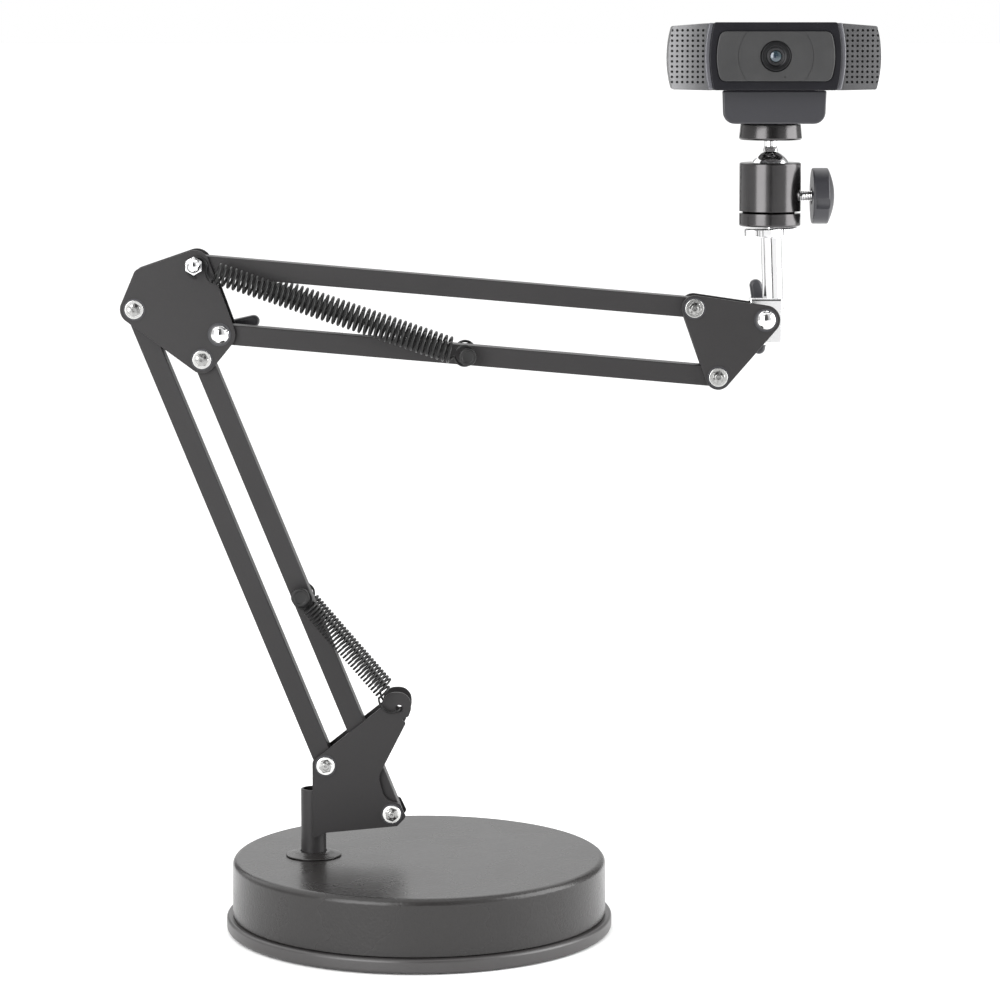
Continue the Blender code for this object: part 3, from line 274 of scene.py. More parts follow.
@dataclass(frozen=True)
class BlackOxide(Finish):
    """Blackened spring steel, a little oily."""

    gloss: float = 0.3

    def dress(self, graph: Graph) -> None:
        """Drawing marks and patches where the black is thinner."""
        drawn = graph.noise(0.4 * MM, 3.0, (1.0, 1.0, 0.3))
        worn = graph.noise(3 * MM, 3.0)
        graph.surface(Base_Color=graph.mix(worn ** 2.0, shade(self.colour, 0.8),
                                           shade(self.colour, 2.0)),
                      Metallic=0.85,
                      Roughness=drawn.spread(self.gloss - 0.08, self.gloss + 0.1),
                      Normal=graph.bump(drawn, 0.01 * MM, 0.5))


@dataclass(frozen=True)
class Moulding(Finish):
    """Moulded plastic with the fine spark texture of its tool."""

    gloss: float = 0.45
    grain: float = 0.45 * MM
    relief: float = 0.012 * MM
    specular: float = 0.3

    def dress(self, graph: Graph) -> None:
        """Spark texture and slow flow marks."""
        spark = graph.noise(self.grain, 3.0)
        flow = graph.noise(15 * MM, 2.0)
        graph.surface(Base_Color=graph.mix(flow, shade(self.colour, 0.88), shade(self.colour, 1.12)),
                      Roughness=(flow * 0.5 + spark * 0.5).spread(self.gloss - 0.07, self.gloss + 0.07),
                      Specular_IOR_Level=self.specular,
                      Normal=graph.bump(spark, self.relief))


@dataclass(frozen=True)
class Anodised(Finish):
    """Turned aluminium, anodised dark, with the lathe's fine rings."""

    gloss: float = 0.24

    def dress(self, graph: Graph) -> None:
        """Rings across Z, softened by noise."""
        rings = graph.rings(0.25 * MM, "Z")
        haze = graph.noise(5 * MM, 3.0)
        graph.surface(Base_Color=graph.mix(haze, shade(self.colour, 0.88), shade(self.colour, 1.14)),
                      Metallic=0.9,
                      Roughness=(rings * 0.5 + haze * 0.5).spread(self.gloss - 0.05, self.gloss + 0.07),
                      Normal=graph.bump(rings, 0.003 * MM, 0.6))


@dataclass(frozen=True)
class Lacquer(Finish):
    """Glossy dark lacquer over a faintly mottled ground."""

    gloss: float = 0.16
    coat: float = 0.4
    specular: float = 0.3

    def dress(self, graph: Graph) -> None:
        """A mottled ground, faint orange peel and a clear coat."""
        peel = graph.noise(1.6 * MM, 2.0)
        drift = graph.noise(9 * MM, 2.0)
        graph.surface(Base_Color=graph.mix(drift, shade(self.colour, 0.85), shade(self.colour, 1.15)),
                      Roughness=drift.spread(self.gloss - 0.03, self.gloss + 0.05),
                      Coat_Weight=self.coat, Specular_IOR_Level=self.specular,
                      Normal=graph.bump(peel, 0.006 * MM, 0.5))


@dataclass(frozen=True)
class CoatedGlass(Finish):
    """Dark lens glass with its violet and green coating."""

    def dress(self, graph: Graph) -> None:
        """The coating's colour wanders slowly across the glass."""
        wander = graph.noise(2.2 * MM, 1.0)
        graph.surface(Base_Color=graph.mix(wander, shade(self.colour, 1.0), (0.02, 0.06, 0.05, 1.0)),
                      Roughness=wander.spread(0.02, 0.05), Coat_Weight=1.0, Metallic=0.35)


@dataclass(frozen=True)
class Casting(Finish):
    """Rough cast iron or open foam: coarse pits in a dull ground."""

    pit: float = 1.4 * MM
    depth: float = 0.25 * MM
    metal: float = 0.0

    def dress(self, graph: Graph) -> None:
        """Pits from cells broken up by noise."""
        pits = graph.cells(self.pit) * 0.6 + graph.noise(self.pit * 0.5, 4.0) * 0.5
        graph.surface(Base_Color=graph.mix(pits, shade(self.colour, 0.6), shade(self.colour, 1.3)),
                      Metallic=self.metal, Roughness=pits.spread(0.7, 0.95),
                      Normal=graph.bump(pits, self.depth))


BASE_PAINT = PowderCoat("base_powder_coat", "powder_coat", (0.018, 0.0168, 0.0165),
                        grain=1.4 * MM, relief=0.08 * MM, gloss=0.27, specular=0.38)
ARM_PAINT = PowderCoat("arm_powder_coat", "powder_coat", (0.0165, 0.0155, 0.016),
                       grain=0.8 * MM, relief=0.02 * MM, gloss=0.44, specular=0.3)
CHROME = Plating("polished_chrome", "chrome", (0.82, 0.82, 0.825))
ZINC = Plating("bright_zinc", "chrome", (0.30, 0.30, 0.295), gloss=0.16)
WASHER_PLATE = Plating("washer_plate", "chrome", (0.62, 0.62, 0.61), gloss=0.14)
OXIDE = BlackOxide("black_oxide", "black_oxide", (0.075, 0.074, 0.073), gloss=0.2)
BLACK_PLASTIC = Moulding("black_plastic", "black_plastic", (0.007, 0.007, 0.008), specular=0.2)
SHELL_PLASTIC = Moulding("satin_grey_plastic", "black_plastic", (0.024, 0.024, 0.026), gloss=0.4)
TRIM_PLASTIC = Moulding("trim_plastic", "black_plastic", (0.075, 0.075, 0.085), gloss=0.3,
                        specular=0.6)
RIM_PLASTIC = Moulding("rim_plastic", "black_plastic", (0.034, 0.032, 0.032), gloss=0.36,
                       specular=0.6)
ANODISED = Anodised("dark_anodised", "anodised", (0.062, 0.06, 0.061), gloss=0.2)
LENS_BLACK = Anodised("lens_anodised", "anodised", (0.02, 0.02, 0.021), gloss=0.3)
LENS_BARREL = Anodised("barrel_anodised", "anodised", (0.055, 0.055, 0.057), gloss=0.3)
GRILLE_PAINT = Anodised("grille_paint", "grille", (0.12, 0.12, 0.123), gloss=0.4)
# painted shade: a near-black finish for the sheet behind the grille holes, standing in for the dark cavity
# there
GRILLE_HOLE_SHADE = Casting("grille_cloth", "foam", (0.003, 0.003, 0.003), pit=0.4 * MM, depth=0.05 * MM)
FACE_LACQUER = Lacquer("face_lacquer", "gloss_plastic", (0.030, 0.030, 0.0305), gloss=0.42, coat=0.1)
BEZEL_LACQUER = Lacquer("bezel_lacquer", "gloss_plastic", (0.007, 0.007, 0.009), gloss=0.34,
                        coat=0.0, specular=0.2)
GLASS = CoatedGlass("coated_glass", "glass", (0.03, 0.02, 0.06))
IRON = Casting("cast_iron", "cast_iron", (0.09, 0.09, 0.095), metal=0.8)
FOAM = Casting("foam_rubber", "foam", (0.022, 0.022, 0.022), pit=0.9 * MM, depth=0.15 * MM)


# ---------------------------------------------------------------- places

def middle(node: str) -> Vector:
    """Centre of a CAD node's box."""
    low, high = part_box(node)
    return (low + high) / 2


def flat(point: Vector) -> Vector:
    """A 3D point as (x, z) in the arm plane."""
    return Vector((point.x, point.z))


def lifted(point: Sequence[float], y: float = 0.0) -> Vector:
    """An arm-plane point (x, z) in 3D."""
    return Vector((point[0], y, point[1]))


def heading(angle: float) -> Vector:
    """Unit vector at an angle from +X in the arm plane."""
    return Vector((math.cos(angle), math.sin(angle)))


def joint_point(name: str) -> Vector:
    """A joint's point at rest."""
    return Vector(JOINTS[name]["pos_m"])


def arc(centre: Sequence[float], radius: float, first: float, last: float, steps: int) -> list[Vector]:
    """Points of an arc in a plane, both ends included."""
    return [Vector(centre) + heading(first + (last - first) * i / steps) * radius
            for i in range(steps + 1)]


def rounded_path(corners: Iterable[Sequence[float]], closed: bool = True,
                 step: float = math.radians(12)) -> list[Vector]:
    """Points along a path whose corners are rounded.

    Args:
        corners: (across, up, fillet radius) of each corner, in millimetres.
        closed: whether the last corner joins the first.
        step: the largest turn between two points of a fillet.

    Returns:
        The path's points, in metres.
    """
    places = [(Vector(corner[:2]) * MM, corner[2] * MM) for corner in corners]
    path: list[Vector] = []
    for i, (corner, radius) in enumerate(places):
        if radius == 0 or (not closed and i in (0, len(places) - 1)):
            path.append(corner)
            continue
        before = (places[i - 1][0] - corner).normalized()
        after = (places[(i + 1) % len(places)][0] - corner).normalized()
        half = before.angle(after) / 2
        centre = corner + (before + after).normalized() * (radius / math.sin(half))
        start = corner + before * (radius / math.tan(half)) - centre
        sweep = start.angle_signed(corner + after * (radius / math.tan(half)) - centre)
        count = max(2, math.ceil(abs(sweep) / step))
        path += [centre + Matrix.Rotation(-sweep * k / count, 2) @ start for k in range(count + 1)]
    return path


def bridge(start: Vector, leaving: Vector, end: Vector, arriving: Vector,
           steps: int = 14) -> list[Vector]:
    """Points of a smooth curve between two ends with given directions, ends left out."""
    reach = (end - start).length * 1.2
    first, last = leaving.normalized() * reach, arriving.normalized() * reach
    points = []
    for t in (k / steps for k in range(1, steps)):
        points.append(start * (2 * t ** 3 - 3 * t ** 2 + 1) + first * (t ** 3 - 2 * t ** 2 + t)
                      + end * (3 * t ** 2 - 2 * t ** 3) + last * (t ** 3 - t ** 2))
    return points


def hull(discs: Iterable[tuple[Vector, float]], steps: int = 48) -> list[Vector]:
    """Outline of the tightest plate around a set of (centre, radius) discs."""
    points = [p for centre, radius in discs for p in arc(centre, radius, 0, math.tau, steps)[:-1]]
    return [points[i] for i in convex_hull_2d(points)]


# ---------------------------------------------------------------- workbench

def clear_bench() -> None:
    """Leave edit mode and deselect everything."""
    if bpy.context.object is not None and bpy.context.object.mode != "OBJECT":
        bpy.ops.object.mode_set(mode="OBJECT")
    bpy.ops.object.select_all(action="DESELECT")


def pick(*pieces: bpy.types.Object) -> bpy.types.Object:
    """Select only these pieces, the first of them active."""
    clear_bench()
    for piece in pieces:
        piece.select_set(True)
    bpy.context.view_layer.objects.active = pieces[0]
    return pieces[0]


def settle(piece: bpy.types.Object) -> bpy.types.Object:
    """Move a piece's place, turn and scale into its mesh."""
    pick(piece)
    bpy.ops.object.transform_apply(location=True, rotation=True, scale=True)
    return piece


def placed(piece: bpy.types.Object, place: Matrix) -> bpy.types.Object:
    """Put a piece at a place and move the place into its mesh."""
    piece.matrix_world = place
    return settle(piece)


def apply_modifier(piece: bpy.types.Object, kind: str, **settings: Any) -> bpy.types.Object:
    """Add a modifier with its settings and apply it."""
    pick(piece)
    modifier = piece.modifiers.new(kind.lower(), kind)
    for key, value in settings.items():
        setattr(modifier, key, value)
    bpy.ops.object.modifier_apply(modifier=modifier.name)
    return piece


def even_normals(piece: bpy.types.Object) -> bpy.types.Object:
    """Merge doubles and turn all faces outwards."""
    pick(piece)
    bpy.ops.object.mode_set(mode="EDIT")
    bpy.ops.mesh.select_all(action="SELECT")
    bpy.ops.mesh.remove_doubles(threshold=WELD)
    bpy.ops.mesh.normals_make_consistent(inside=False)
    bpy.ops.object.mode_set(mode="OBJECT")
    return piece


def chain(name: str, points: Sequence[Vector], closed: bool = False) -> bpy.types.Object:
    """A line of vertices, extruded one from the other.

    Args:
        name: the new object's name.
        points: the 3D points of the line.
        closed: whether the last point joins the first.

    Returns:
        The object, left in edit mode with everything selected.
    """
    clear_bench()
    bpy.ops.mesh.primitive_plane_add(size=MM)
    piece = bpy.context.object
    piece.name = name
    bpy.ops.object.mode_set(mode="EDIT")
    bpy.ops.mesh.merge(type="CENTER")
    bpy.ops.transform.translate(value=points[0])
    route = [*points, points[0]] if closed else points
    for before, after in zip(route, route[1:]):
        bpy.ops.mesh.extrude_region_move(
            TRANSFORM_OT_translate={"value": Vector(after) - Vector(before)})
    bpy.ops.mesh.select_all(action="SELECT")
    if closed:
        bpy.ops.mesh.remove_doubles(threshold=WELD)
    return piece


def frame_of(centre: Sequence[float], axis: Vector, across: Vector | None = None) -> Matrix:
    """Matrix that takes Z to an axis at a centre, and X to a chosen side."""
    up = Vector(axis).normalized()
    side = across if across is not None else (Y.cross(up) if abs(up.y) < 0.9 else X)
    side = (side - up * side.dot(up)).normalized()
    turn = Matrix((side, up.cross(side), up)).transposed().to_4x4()
    return Matrix.Translation(Vector(centre)) @ turn


def turned(name: str, profile: Sequence[Vector], centre: Sequence[float] = (0, 0, 0),
           axis: Vector = Z, steps: int = 64, closed: bool = False) -> bpy.types.Object:
    """Spin a profile of (radius, height) points about an axis."""
    piece = chain(name, [Vector((radius, 0, height)) for radius, height in profile], closed)
    bpy.ops.mesh.spin(steps=steps, angle=math.tau, center=(0, 0, 0), axis=(0, 0, 1))
    even_normals(piece)
    return placed(piece, frame_of(centre, axis))


def extruded(name: str, outline: Sequence[Vector], push: Vector) -> bpy.types.Object:
    """Fill a closed outline of 3D points and extrude it."""
    piece = chain(name, outline, closed=True)
    bpy.ops.mesh.edge_face_add()
    bpy.ops.mesh.extrude_region_move(TRANSFORM_OT_translate={"value": push})
    return even_normals(piece)


def plate(name: str, outline: Sequence[Vector], near: float, far: float) -> bpy.types.Object:
    """A flat piece in the arm plane between two y values."""
    return extruded(name, [lifted(point, near) for point in outline], Y * (far - near))


def block(name: str, low: Sequence[float], high: Sequence[float]) -> bpy.types.Object:
    """A box between two corners."""
    clear_bench()
    low, high = Vector(low), Vector(high)
    bpy.ops.mesh.primitive_cube_add(size=1, location=(low + high) / 2, scale=high - low)
    bpy.context.object.name = name
    return settle(bpy.context.object)


def rod(name: str, radius: float, start: Vector, end: Vector, sides: int = 32) -> bpy.types.Object:
    """A cylinder between two points."""
    clear_bench()
    run = Vector(end) - Vector(start)
    bpy.ops.mesh.primitive_cylinder_add(vertices=sides, radius=radius, depth=run.length)
    bpy.context.object.name = name
    return placed(bpy.context.object, frame_of(Vector(start) + run / 2, run))


def carve(piece: bpy.types.Object, *tools: bpy.types.Object,
          operation: str = "DIFFERENCE") -> bpy.types.Object:
    """Cut tools from a piece, join them to it or keep what they share, and remove them."""
    for tool in tools:
        apply_modifier(piece, "BOOLEAN", operation=operation, solver="EXACT", object=tool)
        bpy.data.objects.remove(tool, do_unlink=True)
    return piece


def soften(piece: bpy.types.Object, width: float, segments: int = 2,
           angle: float = 35.0) -> bpy.types.Object:
    """Round a piece's sharp edges and shade it smooth."""
    if width:
        apply_modifier(piece, "BEVEL", width=width, segments=segments, limit_method="ANGLE",
                       angle_limit=math.radians(angle), harden_normals=False)
    pick(piece)
    bpy.ops.object.shade_smooth_by_angle(angle=math.radians(32))
    return apply_modifier(piece, "WEIGHTED_NORMAL", keep_sharp=True)


def twin(piece: bpy.types.Object, name: str, place: Matrix) -> bpy.types.Object:
    """A copy of a piece, with its own mesh, at another place."""
    pick(piece)
    bpy.ops.object.duplicate()
    copy = bpy.context.object
    copy.name = name
    placed(copy, place)
    return even_normals(copy) if place.determinant() < 0 else copy


def joined(*pieces: bpy.types.Object) -> bpy.types.Object:
    """Make one object of several; the first keeps its name."""
    pick(*pieces)
    bpy.ops.object.join()
    return pieces[0]


def wire(name: str, points: Sequence[Vector], radius: float) -> bpy.types.Object:
    """A round wire along a line of points, with closed ends."""
    piece = chain(name, points)
    pick(piece)
    bpy.ops.object.convert(target="CURVE")
    curve = bpy.context.object
    curve.data.bevel_depth = radius
    curve.data.bevel_resolution = 3
    curve.data.use_fill_caps = True
    bpy.ops.object.convert(target="MESH")
    return even_normals(bpy.context.object)


def fit(piece: bpy.types.Object, finish: Finish, body: str, *stands_for: str) -> bpy.types.Object:
    """Give a finished piece its material and body.

    Args:
        piece: the mesh, in place.
        finish: what its surface is.
        body: the CAD body that it moves with.
        stands_for: the CAD nodes that it replaces.

    Returns:
        The piece.
    """
    paint(piece, finish)
    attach(piece, body)
    if stands_for:
        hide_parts(*stands_for)
    return piece


def paint(piece: bpy.types.Object, finish: Finish) -> None:
    """Give a new piece its material, and report it."""
    piece.data.materials.clear()
    piece.data.materials.append(finish.material())
    LOG.info("%s: %d faces, %s", piece.name, len(piece.data.polygons), finish.name)


def keep(node: str, finish: Finish) -> None:
    """Leave a CAD node visible with a better material."""
    part = frame["nodes"][node]
    for holder in part.material_slots:
        holder.material = finish.material()
    LOG.info("%s: kept from the frame, %s", node, finish.name)


class Side(Enum):
    """The two sides of the arm plane."""

    FRONT = -1
    BACK = 1

    @property
    def label(self) -> str:
        """The side's name in piece names."""
        return self.name.lower()


# ---------------------------------------------------------------- base

@dataclass
class WeightedBase:
    """Round base: textured cover, rim, grommet, iron disc and foam pad."""

    edge: float = 3.0
    wall: float = 1.6
    rim_round: float = 1.5
    steps: int = 180

    def build(self) -> None:
        """Make every piece of the base."""
        self.make_cover()
        self.make_rim()
        self.make_pad()
        self.make_grommet()
        keep("base_weight", IRON)

    def make_cover(self) -> None:
        """Pressed cover with a rounded top edge and a hole for the tube."""
        low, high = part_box("base_cover")
        radius, foot, top = high.x / MM, low.z / MM, high.z / MM
        inner = radius - self.wall
        corners = [(0, top, 0), (radius, top, self.edge), (radius, foot, 0.25), (inner, foot, 0.25),
                   (inner, top - self.wall, self.edge - self.wall), (0, top - self.wall, 0)]
        cover = turned("base_cover_pressing", rounded_path(corners, closed=False), steps=self.steps)
        tube = middle("post_tube")
        bore = (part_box("post_tube")[1].x - tube.x) + 0.6 * MM
        carve(cover, rod("bore", bore, Vector((tube.x, 0, (top - 5) * MM)),
                         Vector((tube.x, 0, (top + 5) * MM)), 64))
        fit(soften(cover, 0), BASE_PAINT, "base", "base_cover")

    def make_rim(self) -> None:
        """Foot rim with a rounded lip."""
        low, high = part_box("base_rim")
        radius, foot, top = high.x / MM, low.z / MM, high.z / MM
        inner = (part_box("base_pad")[1].x / MM) + 0.3
        corners = [(inner, top, 0.2), (radius, top, self.rim_round), (radius, foot, self.rim_round),
                   (inner, foot, 0.2)]
        rim = turned("base_foot_rim", rounded_path(corners), steps=self.steps, closed=True)
        fit(soften(rim, 0), RIM_PLASTIC, "base", "base_rim")

    def make_pad(self) -> None:
        """Foam pad under the base, with a soft edge and a shallow ring pressed into it."""
        low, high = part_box("base_pad")
        radius, top = high.x / MM, high.z / MM
        corners = [(0, top, 0), (radius, top, 0.3), (radius, 0, 0.6), (radius - 8, 0, 0.3),
                   (radius - 8.6, 0.5, 0.3), (radius - 11.4, 0.5, 0.3), (radius - 12, 0, 0.3),
                   (0, 0, 0)]
        pad = turned("base_foam_pad", rounded_path(corners, closed=False), steps=self.steps)
        fit(soften(pad, 0), FOAM, "base", "base_pad")

    def make_grommet(self) -> None:
        """Domed grommet round the tube."""
        low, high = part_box("base_grommet")
        centre = middle("base_grommet")
        outer, seat = (high.x - centre.x) / MM, low.z / MM
        crown = seat + 1.9
        lip = (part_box("post_tube")[1].x - middle("post_tube").x) / MM + 0.3
        corners = [(lip, crown, 0.2), (lip + 1.6, crown, 0.5), (outer - 3.0, seat + 1.2, 2.5),
                   (outer, seat + 0.4, 0.3), (outer, seat, 0.1), (lip, seat, 0.1)]
        grommet = turned("base_tube_grommet", rounded_path(corners), (centre.x, 0, 0), Z, 96, True)
        fit(soften(grommet, 0), BASE_PAINT, "base", "base_grommet")


# ---------------------------------------------------------------- fasteners

def make_shade_ring(name: str, centre: Vector, axis: Vector, radius: float,
              face: float) -> bpy.types.Object:
    """Thin black ring under a bolt head, painted contact shade round its washer; the ring's face stands a
    distance from the arm plane.
    """
    return turned(name, rounded_path([(2.4, face - 0.02, 0.05), (radius, face - 0.02, 0.08),
                                      (radius, face - 0.26, 0.05), (2.4, face - 0.26, 0.05)]),
                  centre, axis, 48, True)


@dataclass
class PivotBolt:
    """Bolt through a pivot: washer, chamfered hexagon and threaded stud end on each side."""

    washer: float = 4.1
    washer_high: float = 0.6
    hexagon: float = 3.0
    hexagon_high: float = 1.3
    stud: float = 1.55
    shank: float = 2.0
    pitch: float = 0.35

    def build(self, node: str, body: str, turn: float) -> None:
        """Make one bolt in place of its CAD node.

        Args:
            node: the CAD node that it stands for.
            body: the body that it rides on.
            turn: how far its hexagons are turned, in degrees.
        """
        low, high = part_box(node)
        centre = (low + high) / 2
        face = high.y / MM - self.washer_high - self.hexagon_high - 0.3
        washers = [turned(f"{node}_shank", [Vector(p) * MM for p in
                                            ((0, -face), (self.shank, -face), (self.shank, face),
                                             (0, face))], centre, -Y, 32)]
        nuts, shade_rings = [], []
        for side in Side:
            washer, *ends = self.make_end(node, centre, side, face, turn)
            washers.append(washer)
            nuts += ends
            # painted shade: a thin black ring draws the contact shade round each washer
            shade_rings.append(make_shade_ring(f"{node}_seat", centre, Y * side.value, self.washer + 0.7, face))
        fit(soften(joined(*washers), 0), WASHER_PLATE, body, node)
        fit(soften(joined(*nuts), 0), ZINC, body, node)
        fit(soften(joined(*shade_rings), 0), BLACK_PLASTIC, body)

    def make_end(self, node: str, centre: Vector, side: Side, face: float,
                 turn: float) -> list[bpy.types.Object]:
        """Washer, hexagon and stud end on one side of the pivot."""
        axis = Y * side.value
        top = face + self.washer_high
        hole = self.shank - 0.1
        washer = turned(f"{node}_washer", rounded_path(
            [(hole, top, 0.1), (self.washer, top, 0.25), (self.washer, face, 0.1), (hole, face, 0.1)]),
            centre, axis, 48, True)
        crown = top + self.hexagon_high
        points = arc((0, 0), self.hexagon * MM, math.radians(turn), math.radians(turn) + math.tau, 6)
        nut = extruded(f"{node}_nut", [Vector((p.x, p.y, (top - 0.05) * MM)) for p in points[:-1]],
                       Z * (self.hexagon_high + 0.05) * MM)
        apply_modifier(nut, "BEVEL", width=0.12 * MM, segments=2, limit_method="ANGLE")
        placed(nut, frame_of(centre, axis, X))
        flank = self.hexagon * 0.86
        chamfer = turned("chamfer", rounded_path(
            [(0, crown, 0), (flank, crown, 0.1), (self.hexagon + 0.6, crown - 0.75, 0.1),
             (self.hexagon + 0.6, top - 1, 0), (0, top - 1, 0)], closed=False), centre, axis, 48)
        carve(nut, chamfer, operation="INTERSECT")
        ridges = []
        for k in range(2):
            height = crown - 0.35 + k * self.pitch
            ridges += [(self.stud - 0.2, height, 0), (self.stud, height + self.pitch / 2, 0)]
        tip = crown + 0.3
        stud = turned(f"{node}_stud", rounded_path(
            [(0, crown - 0.5, 0), *ridges, (self.stud - 0.2, tip, 0.1), (0.55, tip, 0.08),
             (0.35, tip - 0.25, 0.05), (0, tip - 0.25, 0)], closed=False), centre, axis, 32)
        return [washer, nut, stud]


@dataclass
class DomeBolt:
    """Clamp bolt with a polished dome at the front and a threaded shank."""

    dome: float = 4.4
    dome_high: float = 2.6
    shank: float = 2.0
    pitch: float = 0.7

    def build(self, node: str, body: str) -> None:
        """Make one clamp bolt in place of its CAD node."""
        low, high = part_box(node)
        centre = Vector((middle(node).x, 0, middle(node).z))
        face = -low.y / MM - self.dome_high
        tail = -high.y / MM
        radius = (self.dome ** 2 + self.dome_high ** 2) / (2 * self.dome_high)
        sweep = math.asin(self.dome / radius)
        head = [Vector((radius * math.sin(a), face + self.dome_high - radius * (1 - math.cos(a))))
                for a in (sweep * i / 14 for i in range(15))]
        threads = []
        start = -8.0
        while start - self.pitch > tail + 0.8:
            threads += [Vector((self.shank, start)), Vector((self.shank - 0.3, start - self.pitch / 2))]
            start -= self.pitch
        path = [*head, Vector((self.dome - 0.3, face)), Vector((self.shank, face)), *threads,
                Vector((self.shank - 0.4, tail)), Vector((0, tail))]
        bolt = turned(f"{node}_domed", [point * MM for point in path], centre, -Y, 48)
        fit(soften(bolt, 0), CHROME, body, node)
        # painted shade: a thin black ring draws the contact shade round the dome
        seat = make_shade_ring(f"{node}_seat", centre, -Y, self.dome + 0.7, face)
        fit(soften(seat, 0), BLACK_PLASTIC, body)


@dataclass
class TopBolt:
    """Elbow's top bolt with an acorn nut that also holds the upper springs' hooks."""

    flats: float = 4.1
    nut_high: float = 2.8
    dome_high: float = 2.8

    def build(self) -> None:
        """Make the acorn nut and the bolt behind it."""
        low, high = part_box("elbow_acorn_nut")
        centre = Vector((middle("elbow_acorn_nut").x, 0, middle("elbow_acorn_nut").z))
        face = -high.y / MM
        axis = -Y
        points = arc((0, 0), self.flats * MM, math.radians(30), math.radians(30) + math.tau, 6)
        nut = extruded("elbow_acorn_hexagon", [Vector((p.x, p.y, face * MM)) for p in points[:-1]],
                       Z * self.nut_high * MM)
        apply_modifier(nut, "BEVEL", width=0.15 * MM, segments=2, limit_method="ANGLE")
        placed(nut, frame_of(centre, axis, X))
        top = face + self.nut_high
        rim = turned("rim", rounded_path(
            [(0, top, 0), (self.flats * 0.87, top, 0.1), (self.flats + 0.5, top - 0.7, 0.1),
             (self.flats + 0.5, face + 0.5, 0.1), (self.flats * 0.9, face, 0.1), (0, face, 0)],
            closed=False), centre, axis, 48)
        carve(nut, rim, operation="INTERSECT")
        crown = top + self.dome_high
        dome = turned("elbow_acorn_dome", rounded_path(
            [(0, crown, 0), (3.0, crown, 2.7), (3.1, top - 0.2, 0), (0, top - 0.2, 0)],
            closed=False), centre, axis, 48)
        fit(soften(joined(nut, dome), 0), CHROME, "elbow", "elbow_acorn_nut")
        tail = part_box("elbow_top_bolt")[1].y / MM
        tip = -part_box("elbow_top_bolt")[0].y / MM
        bolt = turned("elbow_top_bolt_turned", rounded_path(
            [(0, tip, 0), (2.0, tip, 0.3), (2.0, -tail + 4.8, 0), (3.7, -tail + 4.8, 0.3),
             (3.7, -tail + 2.2, 0.6), (1.8, -tail, 0.8), (0, -tail, 0)], closed=False),
            centre, axis, 48)
        fit(soften(bolt, 0), CHROME, "elbow", "elbow_top_bolt")


@dataclass
class WingNut:
    """Moulded wing nut: a hub with two paddles."""

    hub: float = 5.0
    reach: float = 16.8
    root: float = 3.6
    tip: float = 2.7

    def build(self, node: str, body: str, bolt: str, lobes: Sequence[float]) -> None:
        """Make one wing nut in place of its CAD node.

        Args:
            node: the CAD node that it stands for.
            body: the body that it rides on.
            bolt: the CAD node of the bolt that it turns on.
            lobes: the directions of its paddles, in degrees from +X.
        """
        low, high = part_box(node)
        pivot = flat(middle(bolt))
        near, far = low.y / MM, high.y / MM
        hub = turned(f"{node}_moulded", rounded_path(
            [(0, near, 0), (self.hub - 0.4, near, 0.4), (self.hub, near + 2.0, 0.5),
             (self.hub - 0.5, near + 6.0, 0.8), (3.2, near + 6.6, 0.4), (0, near + 6.6, 0)],
            closed=False), lifted(pivot), Y, 48)
        for angle in lobes:
            run = heading(math.radians(angle))
            paddle = plate("paddle", hull([(pivot + run * 2.5 * MM, self.root * MM),
                                           (pivot + run * (self.reach - self.tip) * MM,
                                            self.tip * MM)]),
                           (far - 5.4) * MM, far * MM)
            soften(paddle, 1.5 * MM, 4, 60)
            carve(hub, paddle, operation="UNION")
        carve(hub, rod("thread", 2.3 * MM, lifted(pivot, (near - 1) * MM),
                       lifted(pivot, (far + 1) * MM), 32))
        fit(soften(hub, 0.25 * MM, 2, 50), BLACK_PLASTIC, body, node)


# ---------------------------------------------------------------- bars and brackets

@dataclass
class ArmBar:
    """Square steel tube with rounded corners, ends round its pivots, and cross holes."""

    depth: float = 10.0
    height: float = 8.8
    wall: float = 1.2
    hole: float = 2.3

    def build(self, node: str, body: str, holes: Sequence[Vector]) -> None:
        """Make one bar in place of its CAD node, from the first hole to the second."""
        start, end = holes[0], holes[1]
        run = (end - start).normalized()
        half, side = self.height / 2 * MM, self.depth / 2 * MM
        bar = plate(f"{node}_tube", hull([(start, half), (end, half)], 40), -side, side)
        across = Vector((-run.y, run.x)) * (half - self.wall * MM)
        beyond = run * self.depth * MM
        inner = side - self.wall * MM
        hollow = plate("hollow", [start - beyond - across, end + beyond - across,
                                  end + beyond + across, start - beyond + across], -inner, inner)
        carve(bar, hollow)
        carve(bar, *(rod("hole", self.hole * MM, lifted(hole, -2 * side), lifted(hole, 2 * side), 24)
                     for hole in holes))
        fit(soften(bar, 0.55 * MM, 3, 50), ARM_PAINT, body, node)


@dataclass
class Bracket:
    """Pair of sheet plates cut to one outline, with its pivot holes."""

    node: str
    body: str
    edge: float = 0.4

    def build(self, outline: Sequence[Vector], holes: Sequence[tuple[Vector, float]]) -> None:
        """Make the front and rear plates in place of their CAD nodes.

        Args:
            outline: the plates' outline in the arm plane.
            holes: the centre and radius of each hole.
        """
        for side in Side:
            node = f"{self.node}_{side.label}"
            low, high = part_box(node)
            sheet = plate(f"{node}_sheet", outline, low.y, high.y)
            carve(sheet, *(rod("hole", radius, lifted(hole, low.y - MM), lifted(hole, high.y + MM), 40)
                           for hole, radius in holes))
            fit(soften(sheet, self.edge * MM, 2, 50), ARM_PAINT, self.body, node)


